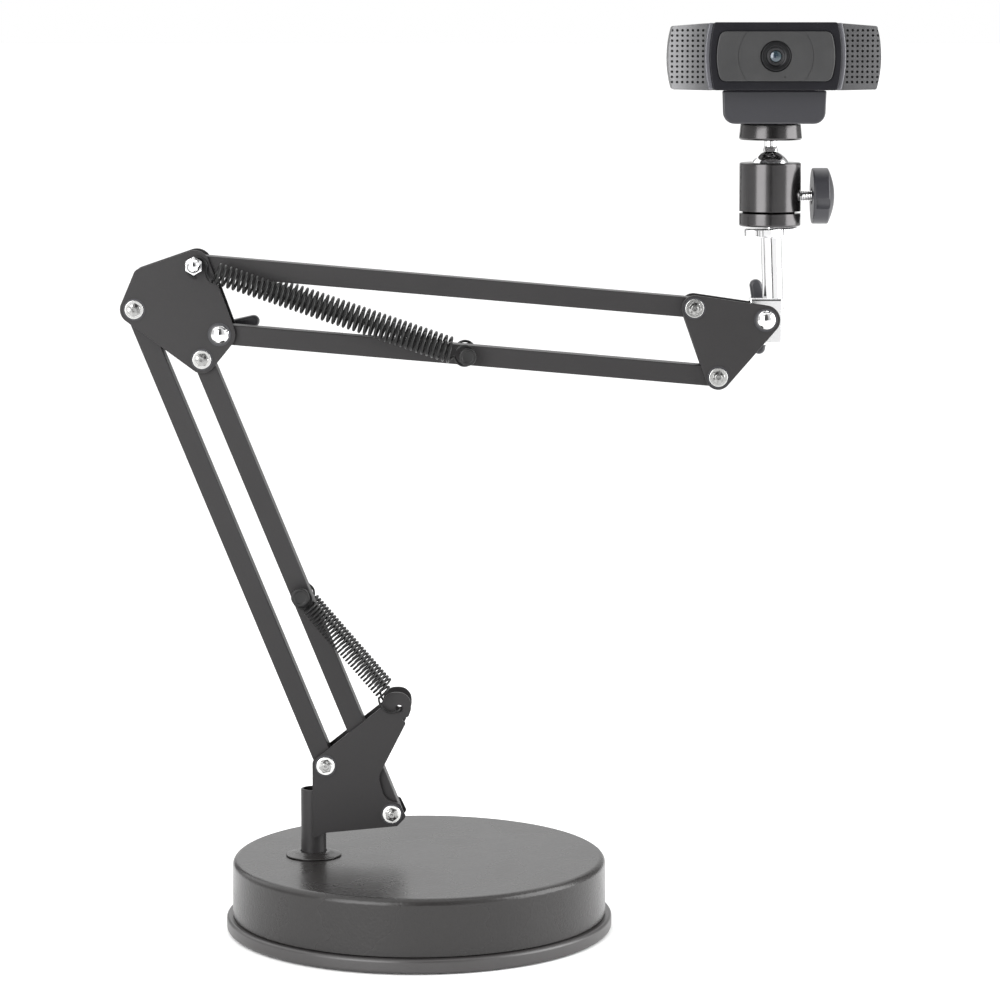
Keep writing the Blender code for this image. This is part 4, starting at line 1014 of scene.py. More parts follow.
@dataclass
class ShoulderPost:
    """Swivel tube with the shoulder bracket welded to it."""

    wall: float = 1.2
    ear_hole: float = 1.7
    corners: tuple[tuple[float, float, float], ...] = (
        (-47.3, 41.8, 0.5), (-41.0, 44.2, 0.8), (-9.6, 47.2, 1.4), (-5.7, 51.4, 1.4),
        (-8.4, 57.2, 1.6), (-15.2, 59.6, 6.0), (-18.0, 69.5, 6.0), (-5.6, 93.9, 0.8),
        (-7.6, 95.6, 0.5), (-4.4, 96.9, 0.8), (-3.3, 100.0, 2.0), (-3.3, 107.8, 5.6),
        (-14.9, 107.8, 5.6), (-16.4, 101.0, 1.5), (-47.3, 76.6, 2.0))

    def build(self) -> None:
        """Make the tube, the two plates, the weld seams and the pivot bolts."""
        self.make_tube()
        holes = [(flat(middle(f"shoulder_bolt_{which}")), 2.3 * MM) for which in ("outer", "inner")]
        ear = flat(joint_point("lower_spring_turn"))
        Bracket("shoulder_plate", "post").build(rounded_path(self.corners),
                                                [*holes, (ear, self.ear_hole * MM)])
        self.make_welds()
        bolt = PivotBolt()
        bolt.build("shoulder_bolt_outer", "post", 12)
        bolt.build("shoulder_bolt_inner", "post", 40)

    def make_tube(self) -> None:
        """Tube with rounded mouths."""
        low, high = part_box("post_tube")
        centre = middle("post_tube")
        outer, foot, top = (high.x - centre.x) / MM, low.z / MM, high.z / MM
        inner = outer - self.wall
        tube = turned("post_swivel_tube", rounded_path(
            [(inner, top, 0.35), (outer, top, 0.5), (outer, foot, 0.4), (inner, foot, 0.3)]),
            (centre.x, 0, 0), Z, 64, True)
        fit(soften(tube, 0), ARM_PAINT, "post", "post_tube")

    def make_welds(self) -> None:
        """Weld bead down each plate's edge on the tube."""
        low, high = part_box("shoulder_plate_front")
        tube_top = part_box("post_tube")[1].z
        centre = middle("post_tube").x
        for side in Side:
            y = side.value * 5.9 * MM
            points = [Vector((centre + 0.4 * MM, y, low.z + (0.6 + k * 0.9) * MM)) for k in range(22)
                      if low.z + (0.6 + k * 0.9) * MM < tube_top - 1.0 * MM]
            bead = wire(f"shoulder_weld_{side.label}", points, 0.55 * MM)
            fit(soften(bead, 0), ARM_PAINT, "post")


# ---------------------------------------------------------------- springs

@dataclass
class SpringPair:
    """Front and rear extension springs with a hook, a coil and an end loop."""

    name: str
    start_body: str
    end_body: str
    coil_radius: float
    wire_radius: float
    turns: int
    loop_radius: float
    rim_side: int
    loop_turn: int
    slack: float = 1.5 * MM

    def across(self, run: Vector) -> Vector:
        """The side of the coil, in the arm plane, where its wire starts and ends."""
        return Y.cross(run) * self.rim_side

    def coil(self, name: str, start: Vector, end: Vector) -> bpy.types.Object:
        """A coil between two points, made with a screw from the wire's section."""
        run = end - start
        clear_bench()
        bpy.ops.mesh.primitive_circle_add(vertices=10, radius=self.wire_radius, fill_type="NGON",
                                          location=(self.coil_radius, 0, 0),
                                          rotation=(math.pi / 2, 0, 0))
        coil = settle(bpy.context.object)
        coil.name = name
        bpy.ops.object.mode_set(mode="EDIT")
        bpy.ops.mesh.select_all(action="SELECT")
        bpy.ops.mesh.delete(type="ONLY_FACE")
        bpy.ops.object.mode_set(mode="OBJECT")
        apply_modifier(coil, "SCREW", steps=22, render_steps=22, iterations=self.turns,
                       screw_offset=run.length / self.turns, use_merge_vertices=False)
        bpy.ops.object.mode_set(mode="EDIT")
        bpy.ops.mesh.select_all(action="DESELECT")
        bpy.ops.mesh.select_non_manifold(extend=False)
        bpy.ops.mesh.edge_face_add()
        bpy.ops.object.mode_set(mode="OBJECT")
        return even_normals(placed(coil, frame_of(start, run, self.across(run.normalized()))))

    def build(self, side: Side, start: Vector, end: Vector, hook: list[Vector], pin: Vector) -> None:
        """Make one spring of the pair in place of its CAD nodes.

        Args:
            side: which side of the arm it is on.
            start: the coil's first end.
            end: the coil's other end.
            hook: the points of the hook, from its tip towards the coil.
            pin: the pin that the end loop hangs on.
        """
        run = (end - start).normalized()
        rim = self.across(run) * self.coil_radius
        drift = Y * math.tau * self.coil_radius + run * ((end - start).length / self.turns)
        body = self.coil(f"{self.name}_{side.label}_wire", start, end)
        lead = bridge(hook[-1], hook[-1] - hook[-2], start + rim, drift)
        front = wire("hook", [*hook, *lead, start + rim], self.wire_radius)
        angle = math.atan2(run.z, run.x)
        ring = [lifted(p, end.y) for p in
                arc(flat(pin - run * self.slack), self.loop_radius, angle + self.loop_turn *
                    math.radians(150), angle - self.loop_turn * math.radians(165), 32)]
        lead = bridge(end + rim, drift, ring[0], ring[1] - ring[0])
        tail = wire("loop", [end + rim, *lead, *ring], self.wire_radius)
        spring = soften(joined(body, front, tail), 0)
        paint(spring, OXIDE)
        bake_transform(spring)
        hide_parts(f"{self.name}_{side.label}", f"{self.name}_end_{side.label}")


@dataclass
class SpringPin:
    """Pin through a bar with collars for the springs' loops and a head at each end."""

    def build(self, node: str, body: str, collar: float, head: float) -> None:
        """Make one pin in place of its CAD node.

        Args:
            node: the CAD node that it stands for.
            body: the body that it rides on.
            collar: the radius that the spring loops sit on, in millimetres.
            head: the radius of the heads, in millimetres.
        """
        centre = middle(node)
        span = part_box(node)[1].y / MM
        half = [(0, span - 0.25, 0), (head - 1.5, span - 0.25, 0.2), (head - 1.2, span, 0.2),
                (head, span, 0.55), (head, span - 1.7, 0.3), (collar, span - 1.7, 0.1),
                (collar, 5.3, 0.2), (2.0, 5.3, 0.1)]
        mirrored = [(radius, -height, fillet) for radius, height, fillet in reversed(half)]
        pin = turned(f"{node}_turned", rounded_path([*half, *mirrored], closed=False), centre, -Y, 48)
        fit(soften(pin, 0), OXIDE, body, node)


# ---------------------------------------------------------------- arm

class BalancedArm:
    """The parallelogram arm: bars, brackets, bolts, wing nuts and springs."""

    def __init__(self) -> None:
        """Read the pivots from the frame."""
        nodes = {"shoulder_outer": "shoulder_bolt_outer", "shoulder_inner": "shoulder_bolt_inner",
                 "elbow_outer": "elbow_bolt_outer", "elbow_inner": "elbow_bolt_inner",
                 "elbow_top": "elbow_acorn_nut", "elbow_bottom": "elbow_clamp_bolt",
                 "end_top": "end_bolt_top", "end_bottom": "end_bolt_bottom", "head": "head_bolt",
                 "lower_pin": "lower_spring_pin", "upper_pin": "upper_spring_pin"}
        self.pivot = {name: flat(middle(node)) for name, node in nodes.items()}
        self.pivot["ear"] = flat(joint_point("lower_spring_turn"))

    def build(self) -> None:
        """Make every piece of the arm."""
        self.make_bars()
        self.make_brackets()
        self.make_fasteners()
        self.make_lower_springs()
        self.make_upper_springs()

    def make_bars(self) -> None:
        """The four square tubes."""
        bar, pivot = ArmBar(), self.pivot
        bar.build("lower_bar_outer", "outer_bar", [pivot["shoulder_outer"], pivot["elbow_outer"]])
        bar.build("lower_bar_inner", "inner_bar",
                  [pivot["shoulder_inner"], pivot["elbow_inner"], pivot["lower_pin"]])
        bar.build("upper_bar_top", "top_bar", [pivot["elbow_top"], pivot["end_top"]])
        bar.build("upper_bar_bottom", "bottom_bar",
                  [pivot["elbow_bottom"], pivot["end_bottom"], pivot["upper_pin"]])

    def make_brackets(self) -> None:
        """Elbow and end brackets."""
        pivot = self.pivot
        shoulder = pivot["elbow_outer"] + Vector((3.2, 14.6)) * MM
        elbow = hull([(pivot["elbow_outer"], 6.3 * MM), (shoulder, 3.5 * MM),
                      (pivot["elbow_top"], 6.6 * MM), (pivot["elbow_bottom"], 7.0 * MM),
                      (pivot["elbow_inner"], 6.1 * MM)])
        holes = [(pivot[name], 2.3 * MM) for name in
                 ("elbow_outer", "elbow_inner", "elbow_top", "elbow_bottom")]
        Bracket("elbow_plate", "elbow").build(elbow, holes)
        end = hull([(pivot["end_top"], 5.7 * MM), (pivot["head"], 6.3 * MM),
                    (pivot["end_bottom"], 5.6 * MM)])
        Bracket("end_plate", "end_bracket").build(
            end, [(pivot[name], 2.3 * MM) for name in ("end_top", "end_bottom", "head")])

    def make_fasteners(self) -> None:
        """Pivot bolts, clamp bolts, the top bolt, wing nuts and spring pins."""
        bolt = PivotBolt()
        for node, body, turn in (("elbow_bolt_outer", "elbow", 25), ("elbow_bolt_inner", "elbow", 3),
                                 ("end_bolt_top", "end_bracket", 48), ("end_bolt_bottom", "end_bracket", 18)):
            bolt.build(node, body, turn)
        dome = DomeBolt()
        dome.build("elbow_clamp_bolt", "elbow")
        dome.build("head_bolt", "end_bracket")
        TopBolt().build()
        wing = WingNut()
        wing.build("elbow_wing_nut", "elbow_wing", "elbow_clamp_bolt", (17, 181))
        wing.build("head_wing_nut", "head_wing", "head_bolt", (103, 264))
        pin = SpringPin()
        pin.build("lower_spring_pin", "inner_bar", 2.1, 4.1)
        pin.build("upper_spring_pin", "bottom_bar", 2.1, 3.8)

    def make_lower_springs(self) -> None:
        """Springs from the bracket's ear to the pin on the inner bar."""
        springs = SpringPair("lower_spring", "lower_springs", "lower_spring_ends",
                             3.4 * MM, 0.5 * MM, 30, 4.1 * MM, -1, 1)
        ear, pin = self.pivot["ear"], self.pivot["lower_pin"]
        run = (pin - ear).normalized()
        away = Vector((-run.y, run.x))
        for side in Side:
            y = side.value * 9.4 * MM
            start, end = lifted(ear + run * 9.8 * MM, y), lifted(pin - run * 5.6 * MM, y)
            hook = [lifted(ear, side.value * height * MM) for height in (4.7, 6.6, 8.3)]
            hook.append(lifted(ear + away * 0.5 * MM, side.value * 8.95 * MM))
            hook += [lifted(ear + away * (5.2 * math.sin(a)) * MM + run * 5.2 * (1 - math.cos(a)) * MM, y)
                     for a in (math.radians(15 + 7.5 * k) for k in range(10))]
            springs.build(side, start, end, hook, lifted(pin, y))

    def make_upper_springs(self) -> None:
        """Springs from the elbow's top bolt to the pin on the bottom bar."""
        springs = SpringPair("upper_spring", "upper_springs", "upper_spring_ends",
                             4.3 * MM, 0.6 * MM, 45, 4.3 * MM, 1, -1)
        bolt, pin = self.pivot["elbow_top"], self.pivot["upper_pin"]
        start, end = bolt + Vector((9.4, -2.9)) * MM, pin - Vector((7.4, -1.85)) * MM
        run = (end - start).normalized()
        angle = math.atan2(run.y, run.x)
        for side in Side:
            y, y_hook = side.value * 12.5 * MM, side.value * 8.5 * MM
            eye = arc(bolt + Vector((1.0, -1.0)) * MM, 4.4 * MM, angle - math.radians(80),
                      angle - math.radians(355), 32)
            hook = [lifted(point, y_hook) for point in eye]
            springs.build(side, lifted(start, y), lifted(end, y), hook, lifted(pin, y))


# ---------------------------------------------------------------- head

class BallHead:
    """Post with its lock ring, the ball head and the camera plate."""

    def build(self) -> None:
        """Make every piece of the head."""
        self.make_post()
        self.make_lock_ring()
        self.make_housing()
        self.make_knob()
        self.make_ball()
        self.make_camera_plate()

    def make_post(self) -> None:
        """Chrome knuckle with the leaning post that rises from it."""
        low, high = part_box("head_knuckle")
        pivot = middle("head_bolt")
        ring = joint_point("lock_ring_turn")
        lean = Vector(JOINTS["lock_ring_turn"]["axis"])
        knuckle = block("head_knuckle_block", (pivot.x - 7.1 * MM, low.y, low.z),
                        (pivot.x + 7.5 * MM, high.y, pivot.z + 9.5 * MM))
        carve(knuckle, rod("bore", 2.3 * MM, Vector((pivot.x, low.y - MM, pivot.z)),
                           Vector((pivot.x, high.y + MM, pivot.z)), 40))
        apply_modifier(knuckle, "BEVEL", width=1.1 * MM, segments=4, limit_method="ANGLE",
                       angle_limit=math.radians(50))
        ring_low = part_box("lock_ring")[0].z
        length = (ring_low - pivot.z) / MM
        post = turned("post", rounded_path(
            [(0, length + 6.5, 0), (2.4, length + 6.5, 0.4), (2.4, length - 0.1, 0),
             (4.6, length - 0.1, 0.35), (4.6, 4.0, 0), (0, 4.0, 0)], closed=False),
            ring - lean * (ring.z - pivot.z), lean, 64)
        soften(knuckle, 0)
        fit(soften(joined(knuckle, post), 0), CHROME, "head_post", "head_knuckle")

    def make_lock_ring(self) -> None:
        """Chrome ring with a fine coin edge."""
        axis = Vector(JOINTS["lock_ring_turn"]["axis"])
        centre = middle("lock_ring")
        half, teeth = 1.75, 72
        outline = [heading(math.tau * k / (2 * teeth)) * (12.0 - 0.28 * (k % 2)) * MM
                   for k in range(2 * teeth)]
        ring = extruded("lock_ring_coined", [Vector((p.x, p.y, -half * MM)) for p in outline],
                        Z * 2 * half * MM)
        limit = turned("limit", rounded_path(
            [(2.7, half + 0.1, 0), (10.9, half + 0.1, 0), (12.3, half - 0.7, 0.2),
             (12.3, 0.7 - half, 0.2), (10.9, -half - 0.1, 0), (2.7, -half - 0.1, 0)]), steps=72,
            closed=True)
        carve(ring, limit, operation="INTERSECT")
        fit(soften(placed(ring, frame_of(centre, axis)), 0), CHROME, "lock_ring", "lock_ring")

    def make_housing(self) -> None:
        """Housing with a ball seat, a flex slit and the screw's cross hole."""
        low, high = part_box("ball_housing")
        centre = middle("ball_housing")
        ball = joint_point("ball_tilt").z / MM
        foot, top, radius = low.z / MM, high.z / MM, 13.5
        seat = 9.3
        mouth = math.acos((top - ball) / seat)
        cup = [(seat * math.sin(a), ball + seat * math.cos(a), 0)
               for a in (mouth + (math.radians(140) - mouth) * i / 12 for i in range(13))]
        profile = [cup[0], (cup[0][0] + 0.5, top, 0), (radius, top, 0.9), (radius, foot, 0.9),
                   (3.4, foot, 0.3), (3.4, foot + 6.5, 0), *reversed(cup[1:])]
        housing = turned("ball_housing_turned", rounded_path(profile), (centre.x, 0, 0), Z, 96, True)
        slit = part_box("lock_ring")[1].z + 5.9 * MM
        carve(housing, block("slit", (centre.x - 20 * MM, -15 * MM, slit),
                             (centre.x + 20 * MM, 7 * MM, slit + 0.9 * MM)))
        screw = middle("clamp_screw")
        carve(housing, rod("cross_hole", 2.6 * MM, Vector((centre.x + 8 * MM, 0, screw.z)),
                           Vector((centre.x + 20 * MM, 0, screw.z)), 32))
        fit(soften(housing, 0.15 * MM, 2, 60), ANODISED, "housing", "ball_housing")

    def make_knob(self) -> None:
        """Domed clamp knob with three shallow flutes, and its threaded screw."""
        low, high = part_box("clamp_knob")
        screw_low, screw_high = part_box("clamp_screw")
        centre = Vector((0, 0, middle("clamp_knob").z))
        near, far = low.x / MM, high.x / MM
        radius = (high.z - centre.z) / MM
        dome = [(radius * k / 12, far - 3.0 * (k / 12) ** 2, 0) for k in range(12)]
        knob = turned("clamp_knob_moulded", rounded_path(
            [*dome, (radius, far - 3.0, 0.7), (radius, near, 0.6), (4.0, near, 0.3),
             (4.0, near + 3.0, 0), (0, near + 3.0, 0)], closed=False), centre, X, 96)
        for angle in (-14, 106, 226):
            out = Y * -math.cos(math.radians(angle)) + Z * math.sin(math.radians(angle))
            line = centre + out * (radius + 3.2) * MM
            carve(knob, rod("flute", 4.2 * MM, line + X * (near + 1.2) * MM,
                            line + X * (far + 2) * MM, 64))
        fit(soften(knob, 0.3 * MM, 3, 25), BLACK_PLASTIC, "knob", "clamp_knob")
        path, height, pitch = [], screw_low.x / MM, 0.7
        while height < near - 0.4:
            path += [(1.9, height, 0), (2.2, height + pitch / 2, 0)]
            height += pitch
        screw = turned("clamp_screw_threaded", rounded_path(
            [(0, screw_low.x / MM, 0), *path, (2.2, near, 0), (2.2, screw_high.x / MM, 0),
             (0, screw_high.x / MM, 0)], closed=False), centre, X, 40)
        fit(soften(screw, 0), CHROME, "knob", "clamp_screw")

    def make_ball(self) -> None:
        """Chrome ball with the stem that stands on it."""
        centre = joint_point("ball_tilt")
        clear_bench()
        bpy.ops.mesh.primitive_uv_sphere_add(segments=64, ring_count=40, radius=9.0 * MM)
        ball = placed(bpy.context.object, Matrix.Translation(centre))
        ball.name = "ball_polished"
        pick(ball)
        bpy.ops.object.mode_set(mode="EDIT")
        bpy.ops.mesh.select_all(action="SELECT")
        bpy.ops.mesh.bisect(plane_co=centre - Z * 8.2 * MM, plane_no=Z, use_fill=True,
                            clear_inner=True)
        even_normals(ball)
        fit(soften(ball, 0), CHROME, "ball", "ball")
        low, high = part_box("ball_stem")
        middle_z = centre.z / MM
        top, shoulder = high.z / MM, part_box("camera_plate")[0].z / MM - 0.3
        cup = [(9.3 * math.sin(math.radians(d)), middle_z + 9.3 * math.cos(math.radians(d)), 0)
               for d in (22, 16, 10, 5, 0)]
        stem = turned("ball_stem_turned", rounded_path(
            [(0, top, 0), (2.0, top, 0.2), (2.0, shoulder, 0), (2.75, shoulder, 0.25),
             (2.75, middle_z + 10.9, 0.5), *cup], closed=False), (centre.x, 0, 0), Z, 48)
        fit(soften(stem, 0), CHROME, "stem", "ball_stem")

    def make_camera_plate(self) -> None:
        """Camera plate with its thread stud and a rubber face."""
        low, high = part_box("camera_plate")
        centre = middle("camera_plate")
        foot, stud_top = low.z / MM, high.z / MM
        top = stud_top - 5.0
        ridges = []
        height = top + 0.8
        while height < stud_top - 1.0:
            ridges += [(2.75, height, 0), (3.1, height + 0.5, 0)]
            height += 1.0
        plate_piece = turned("camera_plate_turned", rounded_path(
            [(0, stud_top, 0), (2.6, stud_top, 0.3), *reversed(ridges), (2.9, top, 0), (4.2, top, 0.2),
             (4.2, top - 0.5, 0.1), (12.0, top - 0.5, 0.1), (12.0, top - 0.1, 0.15), (13.2, top - 0.1, 0.4),
             (13.8, foot + 0.8, 0.6), (13.2, foot, 0.4), (2.3, foot, 0.2), (2.3, foot + 4.0, 0),
             (0, foot + 4.0, 0)], closed=False), (centre.x, 0, 0), Z, 96)
        fit(soften(plate_piece, 0), ANODISED, "camera_plate", "camera_plate")
        face = turned("camera_plate_rubber", rounded_path(
            [(4.5, top, 0.1), (11.7, top, 0.2), (11.7, top - 0.45, 0.1), (4.5, top - 0.45, 0.1)]),
            (centre.x, 0, 0), Z, 96, True)
        fit(soften(face, 0), FOAM, "camera_plate")


# ---------------------------------------------------------------- webcam

@dataclass
class Webcam:
    """Webcam body with its grilles, bezel, face plate, lens and clip, sizes in millimetres."""

    end_bulge: float = 1.9
    top_drop: float = 1.7
    bottom_rise: float = 0.3
    bezel_top: float = 26.4
    bezel_bulge: float = 1.8
    trim: float = 2.1
    face: tuple[float, float] = (25.3, 10.6)
    hole: float = 0.58
    pitch: float = 2.2
    back: float = -6.0                # y of the rear shell's back

    def __post_init__(self) -> None:
        """Read the body's place from the frame."""
        low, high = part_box("rear_shell")
        face_low, face_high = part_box("front_bezel")
        self.x = middle("front_bezel").x / MM - 0.3
        self.z = middle("front_bezel").z / MM
        self.half = (high.x - low.x) / 2 / MM - 0.35
        self.tall = (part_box("grille_left")[1].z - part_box("grille_left")[0].z) / 2 / MM
        self.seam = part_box("grille_left")[1].y / MM
        self.front = face_low.y / MM

    def build(self) -> None:
        """Make every piece of the webcam."""
        self.make_shell()
        self.make_grilles()
        self.make_bezel()
        self.make_face()
        self.make_lens()
        self.make_gland()
        self.make_clip()

    def sided(self, half_width: float, half_height: float, bulge: float, fillet: float) -> list[Vector]:
        """Outline with flat top and bottom and sides that bow outwards.

        Args:
            half_width: half the width at the corners.
            half_height: half the height.
            bulge: how far the sides bow out.
            fillet: the corners' radius.

        Returns:
            Its points in the arm plane, in metres.
        """
        radius = (half_height ** 2 + bulge ** 2) / (2 * bulge)
        corners = []
        count = 6
        for side in (1, -1):
            for k in range(count + 1):
                up = half_height * (2 * k / count - 1) * side
                out = math.sqrt(radius ** 2 - up ** 2) - radius + bulge
                corners.append((self.x + side * (half_width + out), self.z + up,
                                fillet if k in (0, count) else 0))
        return rounded_path(corners)

    def bowed(self) -> list[Vector]:
        """The body's front outline: a long shape whose ends bow outwards and narrow a little."""
        inner, outer = self.half - 17.0, self.half - self.end_bulge
        bottom, top = self.bottom_rise - self.tall, self.tall - self.top_drop
        corners = []
        for side in (1, -1):
            first, last = (bottom, top) if side > 0 else (top, bottom)
            starts, ends = (-self.tall, self.tall - 0.5) if side > 0 else (self.tall - 0.5, -self.tall)
            corners += [(self.x + side * inner, self.z + starts, 20),
                        (self.x + side * outer, self.z + first, 1.0)]
            for k in range(1, 8):
                out = self.end_bulge * (1 - (k / 4 - 1) ** 2)
                corners.append((self.x + side * (outer + out),
                                self.z + first + (last - first) * k / 8, 0))
            corners += [(self.x + side * outer, self.z + last, 1.0),
                        (self.x + side * inner, self.z + ends, 20)]
        return rounded_path(corners)

    def make_shell(self) -> None:
        """Rear shell with a rounded back, the tilt lug and the gland's seat."""
        tilt = joint_point("webcam_tilt")
        shell = plate("rear_shell_moulded", self.bowed(), (self.seam + 0.3) * MM, self.back * MM)
        pick(shell)
        for edge in shell.data.edges:
            edge.select = all(shell.data.vertices[i].co.y > (self.back - 0.01) * MM
                              for i in edge.vertices)
        bpy.ops.object.mode_set(mode="EDIT")
        bpy.ops.mesh.select_mode(type="EDGE")
        bpy.ops.mesh.bevel(offset=4.2 * MM, segments=8, profile=0.5, clamp_overlap=True)
        bpy.ops.mesh.select_mode(type="VERT")
        bpy.ops.object.mode_set(mode="OBJECT")
        lug = block("lug", tilt + Vector((-4.4, -7.0, -3.0)) * MM, tilt + Vector((4.4, 3.0, 3.0)) * MM)
        soften(lug, 1.2 * MM, 4, 60)
        carve(shell, lug, operation="UNION")
        carve(shell, rod("tilt_bore", 1.5 * MM, tilt - X * 9 * MM, tilt + X * 9 * MM, 32))
        gland = middle("cable_gland")
        seat = Vector((gland.x, self.back * MM, gland.z))
        carve(shell, rod("gland_seat", 3.2 * MM, seat - Y * 4 * MM, seat + Y * 4 * MM, 40))
        fit(soften(shell, 0), SHELL_PLASTIC, "webcam", "rear_shell")
        keep("tilt_pin", CHROME)

    def half_outline(self, side: int, start: float, inset: float) -> list[Vector]:
        """The end of the body's outline beyond a distance from its middle."""
        limit = (self.x + side * start) * MM
        kept = []
        for point in self.bowed():
            out = (point - Vector((self.x, self.z)) * MM)
            shrunk = Vector((self.x, self.z)) * MM + Vector((
                out.x - math.copysign(inset * MM, out.x), out.y * (1 - inset / self.tall)))
            shrunk.x = max(shrunk.x, limit) if side > 0 else min(shrunk.x, limit)
            if not kept or (shrunk - kept[-1]).length > 0.02 * MM:
                kept.append(shrunk)
        return kept

    def make_grilles(self) -> None:
        """Perforated grille at each end, curved back towards its tip, over a near-black sheet that paints the
        shade inside its holes.
        """
        for side, label in ((-1, "left"), (1, "right")):
            node = f"grille_{label}"
            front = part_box(node)[0].y / MM
            start = self.bezel_top + 0.6
            bend = 75.0
            hub = Vector(((self.x + side * 25) * MM, (front + bend + 0.1) * MM, self.z * MM))
            up = Z * 20 * MM
            cap = plate(f"{node}_pressed", self.half_outline(side, start, 0), self.seam * MM,
                        (front - 2) * MM)
            carve(cap, rod("bend", bend * MM, hub - up, hub + up, 720), operation="INTERSECT")
            core = plate("core", self.half_outline(side, start - 1, 1.0), (self.seam + 1) * MM,
                         (front - 2) * MM)
            carve(core, rod("bend", (bend - 0.8) * MM, hub - up, hub + up, 720),
                  operation="INTERSECT")
            # painted shade: this near-black copy of the core sits behind the holes so that they read dark
            cloth = twin(core, f"grille_cloth_{label}", Matrix.Identity(4))
            soften(cap, 0.7 * MM, 4, 40)
            carve(cap, core)
            carve(cap, self.make_pins(side, front))
            fit(soften(cap, 0), GRILLE_PAINT, "webcam", node)
            centre = middle(node)
            shrink = Matrix.Diagonal((0.99, 0.99, 0.99, 1.0))
            placed(cloth, Matrix.Translation(centre) @ shrink @ Matrix.Translation(-centre))
            fit(soften(cloth, 0), GRILLE_HOLE_SHADE, "webcam")

    def make_pins(self, side: int, front: float) -> bpy.types.Object:
        """One cutter with a pin for each hole of a grille."""
        columns, rows = 7, 11
        first = self.half - 1.6 - (columns - 1) * self.pitch
        pin = rod("pins", self.hole * MM, Vector(((self.x + side * first) * MM, (front - 1) * MM,
                                                  (self.z - (rows - 1) / 2 * self.pitch) * MM)),
                  Vector(((self.x + side * first) * MM, (front + 3.4) * MM,
                          (self.z - (rows - 1) / 2 * self.pitch) * MM)), 10)
        apply_modifier(pin, "ARRAY", count=rows, use_relative_offset=False, use_constant_offset=True,
                       constant_offset_displace=(0, 0, self.pitch * MM))
        apply_modifier(pin, "ARRAY", count=columns, use_relative_offset=False,
                       use_constant_offset=True,
                       constant_offset_displace=(side * self.pitch * MM, 0, 0))
        return pin

    def make_bezel(self) -> None:
        """Black bezel with bowed sides, and the grey trims beside it."""
        bezel = plate("front_bezel_moulded", self.sided(self.bezel_top, self.tall - 0.02,
                                                        self.bezel_bulge, 1.4),
                      self.seam * MM, self.front * MM)
        soften(bezel, 0.4 * MM, 4, 60)
        recess = plate("recess", self.sided(self.face[0] - self.bezel_bulge + 0.2, self.face[1] + 0.2,
                                            self.bezel_bulge, 3.2),
                       (self.front + 0.5) * MM, (self.front - 3) * MM)
        carve(bezel, recess)
        carve(bezel, rod("lens_bore", 5.0 * MM, Vector((self.x, self.front - 5, self.z)) * MM,
                         Vector((self.x, self.front + 4, self.z)) * MM, 48))
        fit(soften(bezel, 0.12 * MM, 2, 60), BEZEL_LACQUER, "webcam", "front_bezel")
        outer = plate("front_trim_moulded", self.sided(self.bezel_top + self.trim,
                                                       self.tall - 0.3, self.bezel_bulge, 0.8),
                      (self.seam + 0.3) * MM, (self.front + 1.6) * MM)
        soften(outer, 0.7 * MM, 4, 60)
        carve(outer, plate("opening", self.sided(self.bezel_top + 0.1, self.tall + 0.1,
                                                 self.bezel_bulge, 0),
                           (self.seam + 3) * MM, (self.front - 3) * MM))
        fit(soften(outer, 0.1 * MM, 2, 60), TRIM_PLASTIC, "webcam")

    def make_face(self) -> None:
        """Face plate with a shallow ring round the lens and a microphone hole."""
        low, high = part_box("face_plate")
        front, rear = low.y / MM, self.front + 0.3
        face = plate("face_plate_cut", self.sided(self.face[0] - self.bezel_bulge, self.face[1],
                                                  self.bezel_bulge, 3.0), rear * MM, front * MM)
        soften(face, 0.35 * MM, 3, 60)
        lens = Vector((self.x, 0, self.z)) * MM
        groove = turned("groove", rounded_path(
            [(15.9, -front + 1, 0), (16.2, -front + 1, 0), (16.2, -front - 0.18, 0),
             (15.9, -front - 0.18, 0)]), lens, -Y, 128, True)
        carve(face, groove)
        carve(face, rod("lens_hole", 6.7 * MM, lens + Y * (front - 2) * MM, lens + Y * (rear + 2) * MM, 64))
        spot = lens + Vector((4.0, 0, -8.8)) * MM
        carve(face, rod("microphone", 0.35 * MM, spot + Y * (front - 1) * MM,
                        spot + Y * (front + 0.6) * MM, 16))
        fit(soften(face, 0), FACE_LACQUER, "webcam", "face_plate")

    def make_lens(self) -> None:
        """Stepped lens ring, inner barrel and domed glass."""
        lens = Vector((self.x, 0, self.z)) * MM
        low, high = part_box("lens_ring")
        front, rear = -low.y / MM, -high.y / MM
        ring = turned("lens_ring_stepped", rounded_path(
            [(3.9, front - 0.9, 0.1), (4.5, front - 0.7, 0.1), (4.6, front - 0.15, 0.1),
             (5.1, front - 0.15, 0.1), (5.2, front, 0.1), (6.0, front, 0.3), (6.4, front - 0.5, 0.2),
             (6.4, rear, 0.1), (3.9, rear, 0.1)]), lens, -Y, 96, True)
        fit(soften(ring, 0), LENS_BLACK, "webcam", "lens_ring")
        barrel = turned("lens_barrel", rounded_path(
            [(2.5, front - 1.5, 0.05), (2.7, front - 1.0, 0.1), (3.2, front - 1.0, 0.1),
             (3.4, front - 0.6, 0.1), (3.8, front - 0.6, 0.1), (3.8, rear, 0.1), (2.5, rear, 0.1)]),
            lens, -Y, 96, True)
        fit(soften(barrel, 0), LENS_BARREL, "webcam")
        glass = turned("lens_glass_domed", rounded_path(
            [(0, front - 0.75, 0), (1.3, front - 0.8, 3.0), (2.4, front - 1.3, 0.3),
             (2.4, rear, 0.1), (0, rear, 0)], closed=False), lens, -Y, 64)
        fit(soften(glass, 0), GLASS, "webcam", "lens_glass")

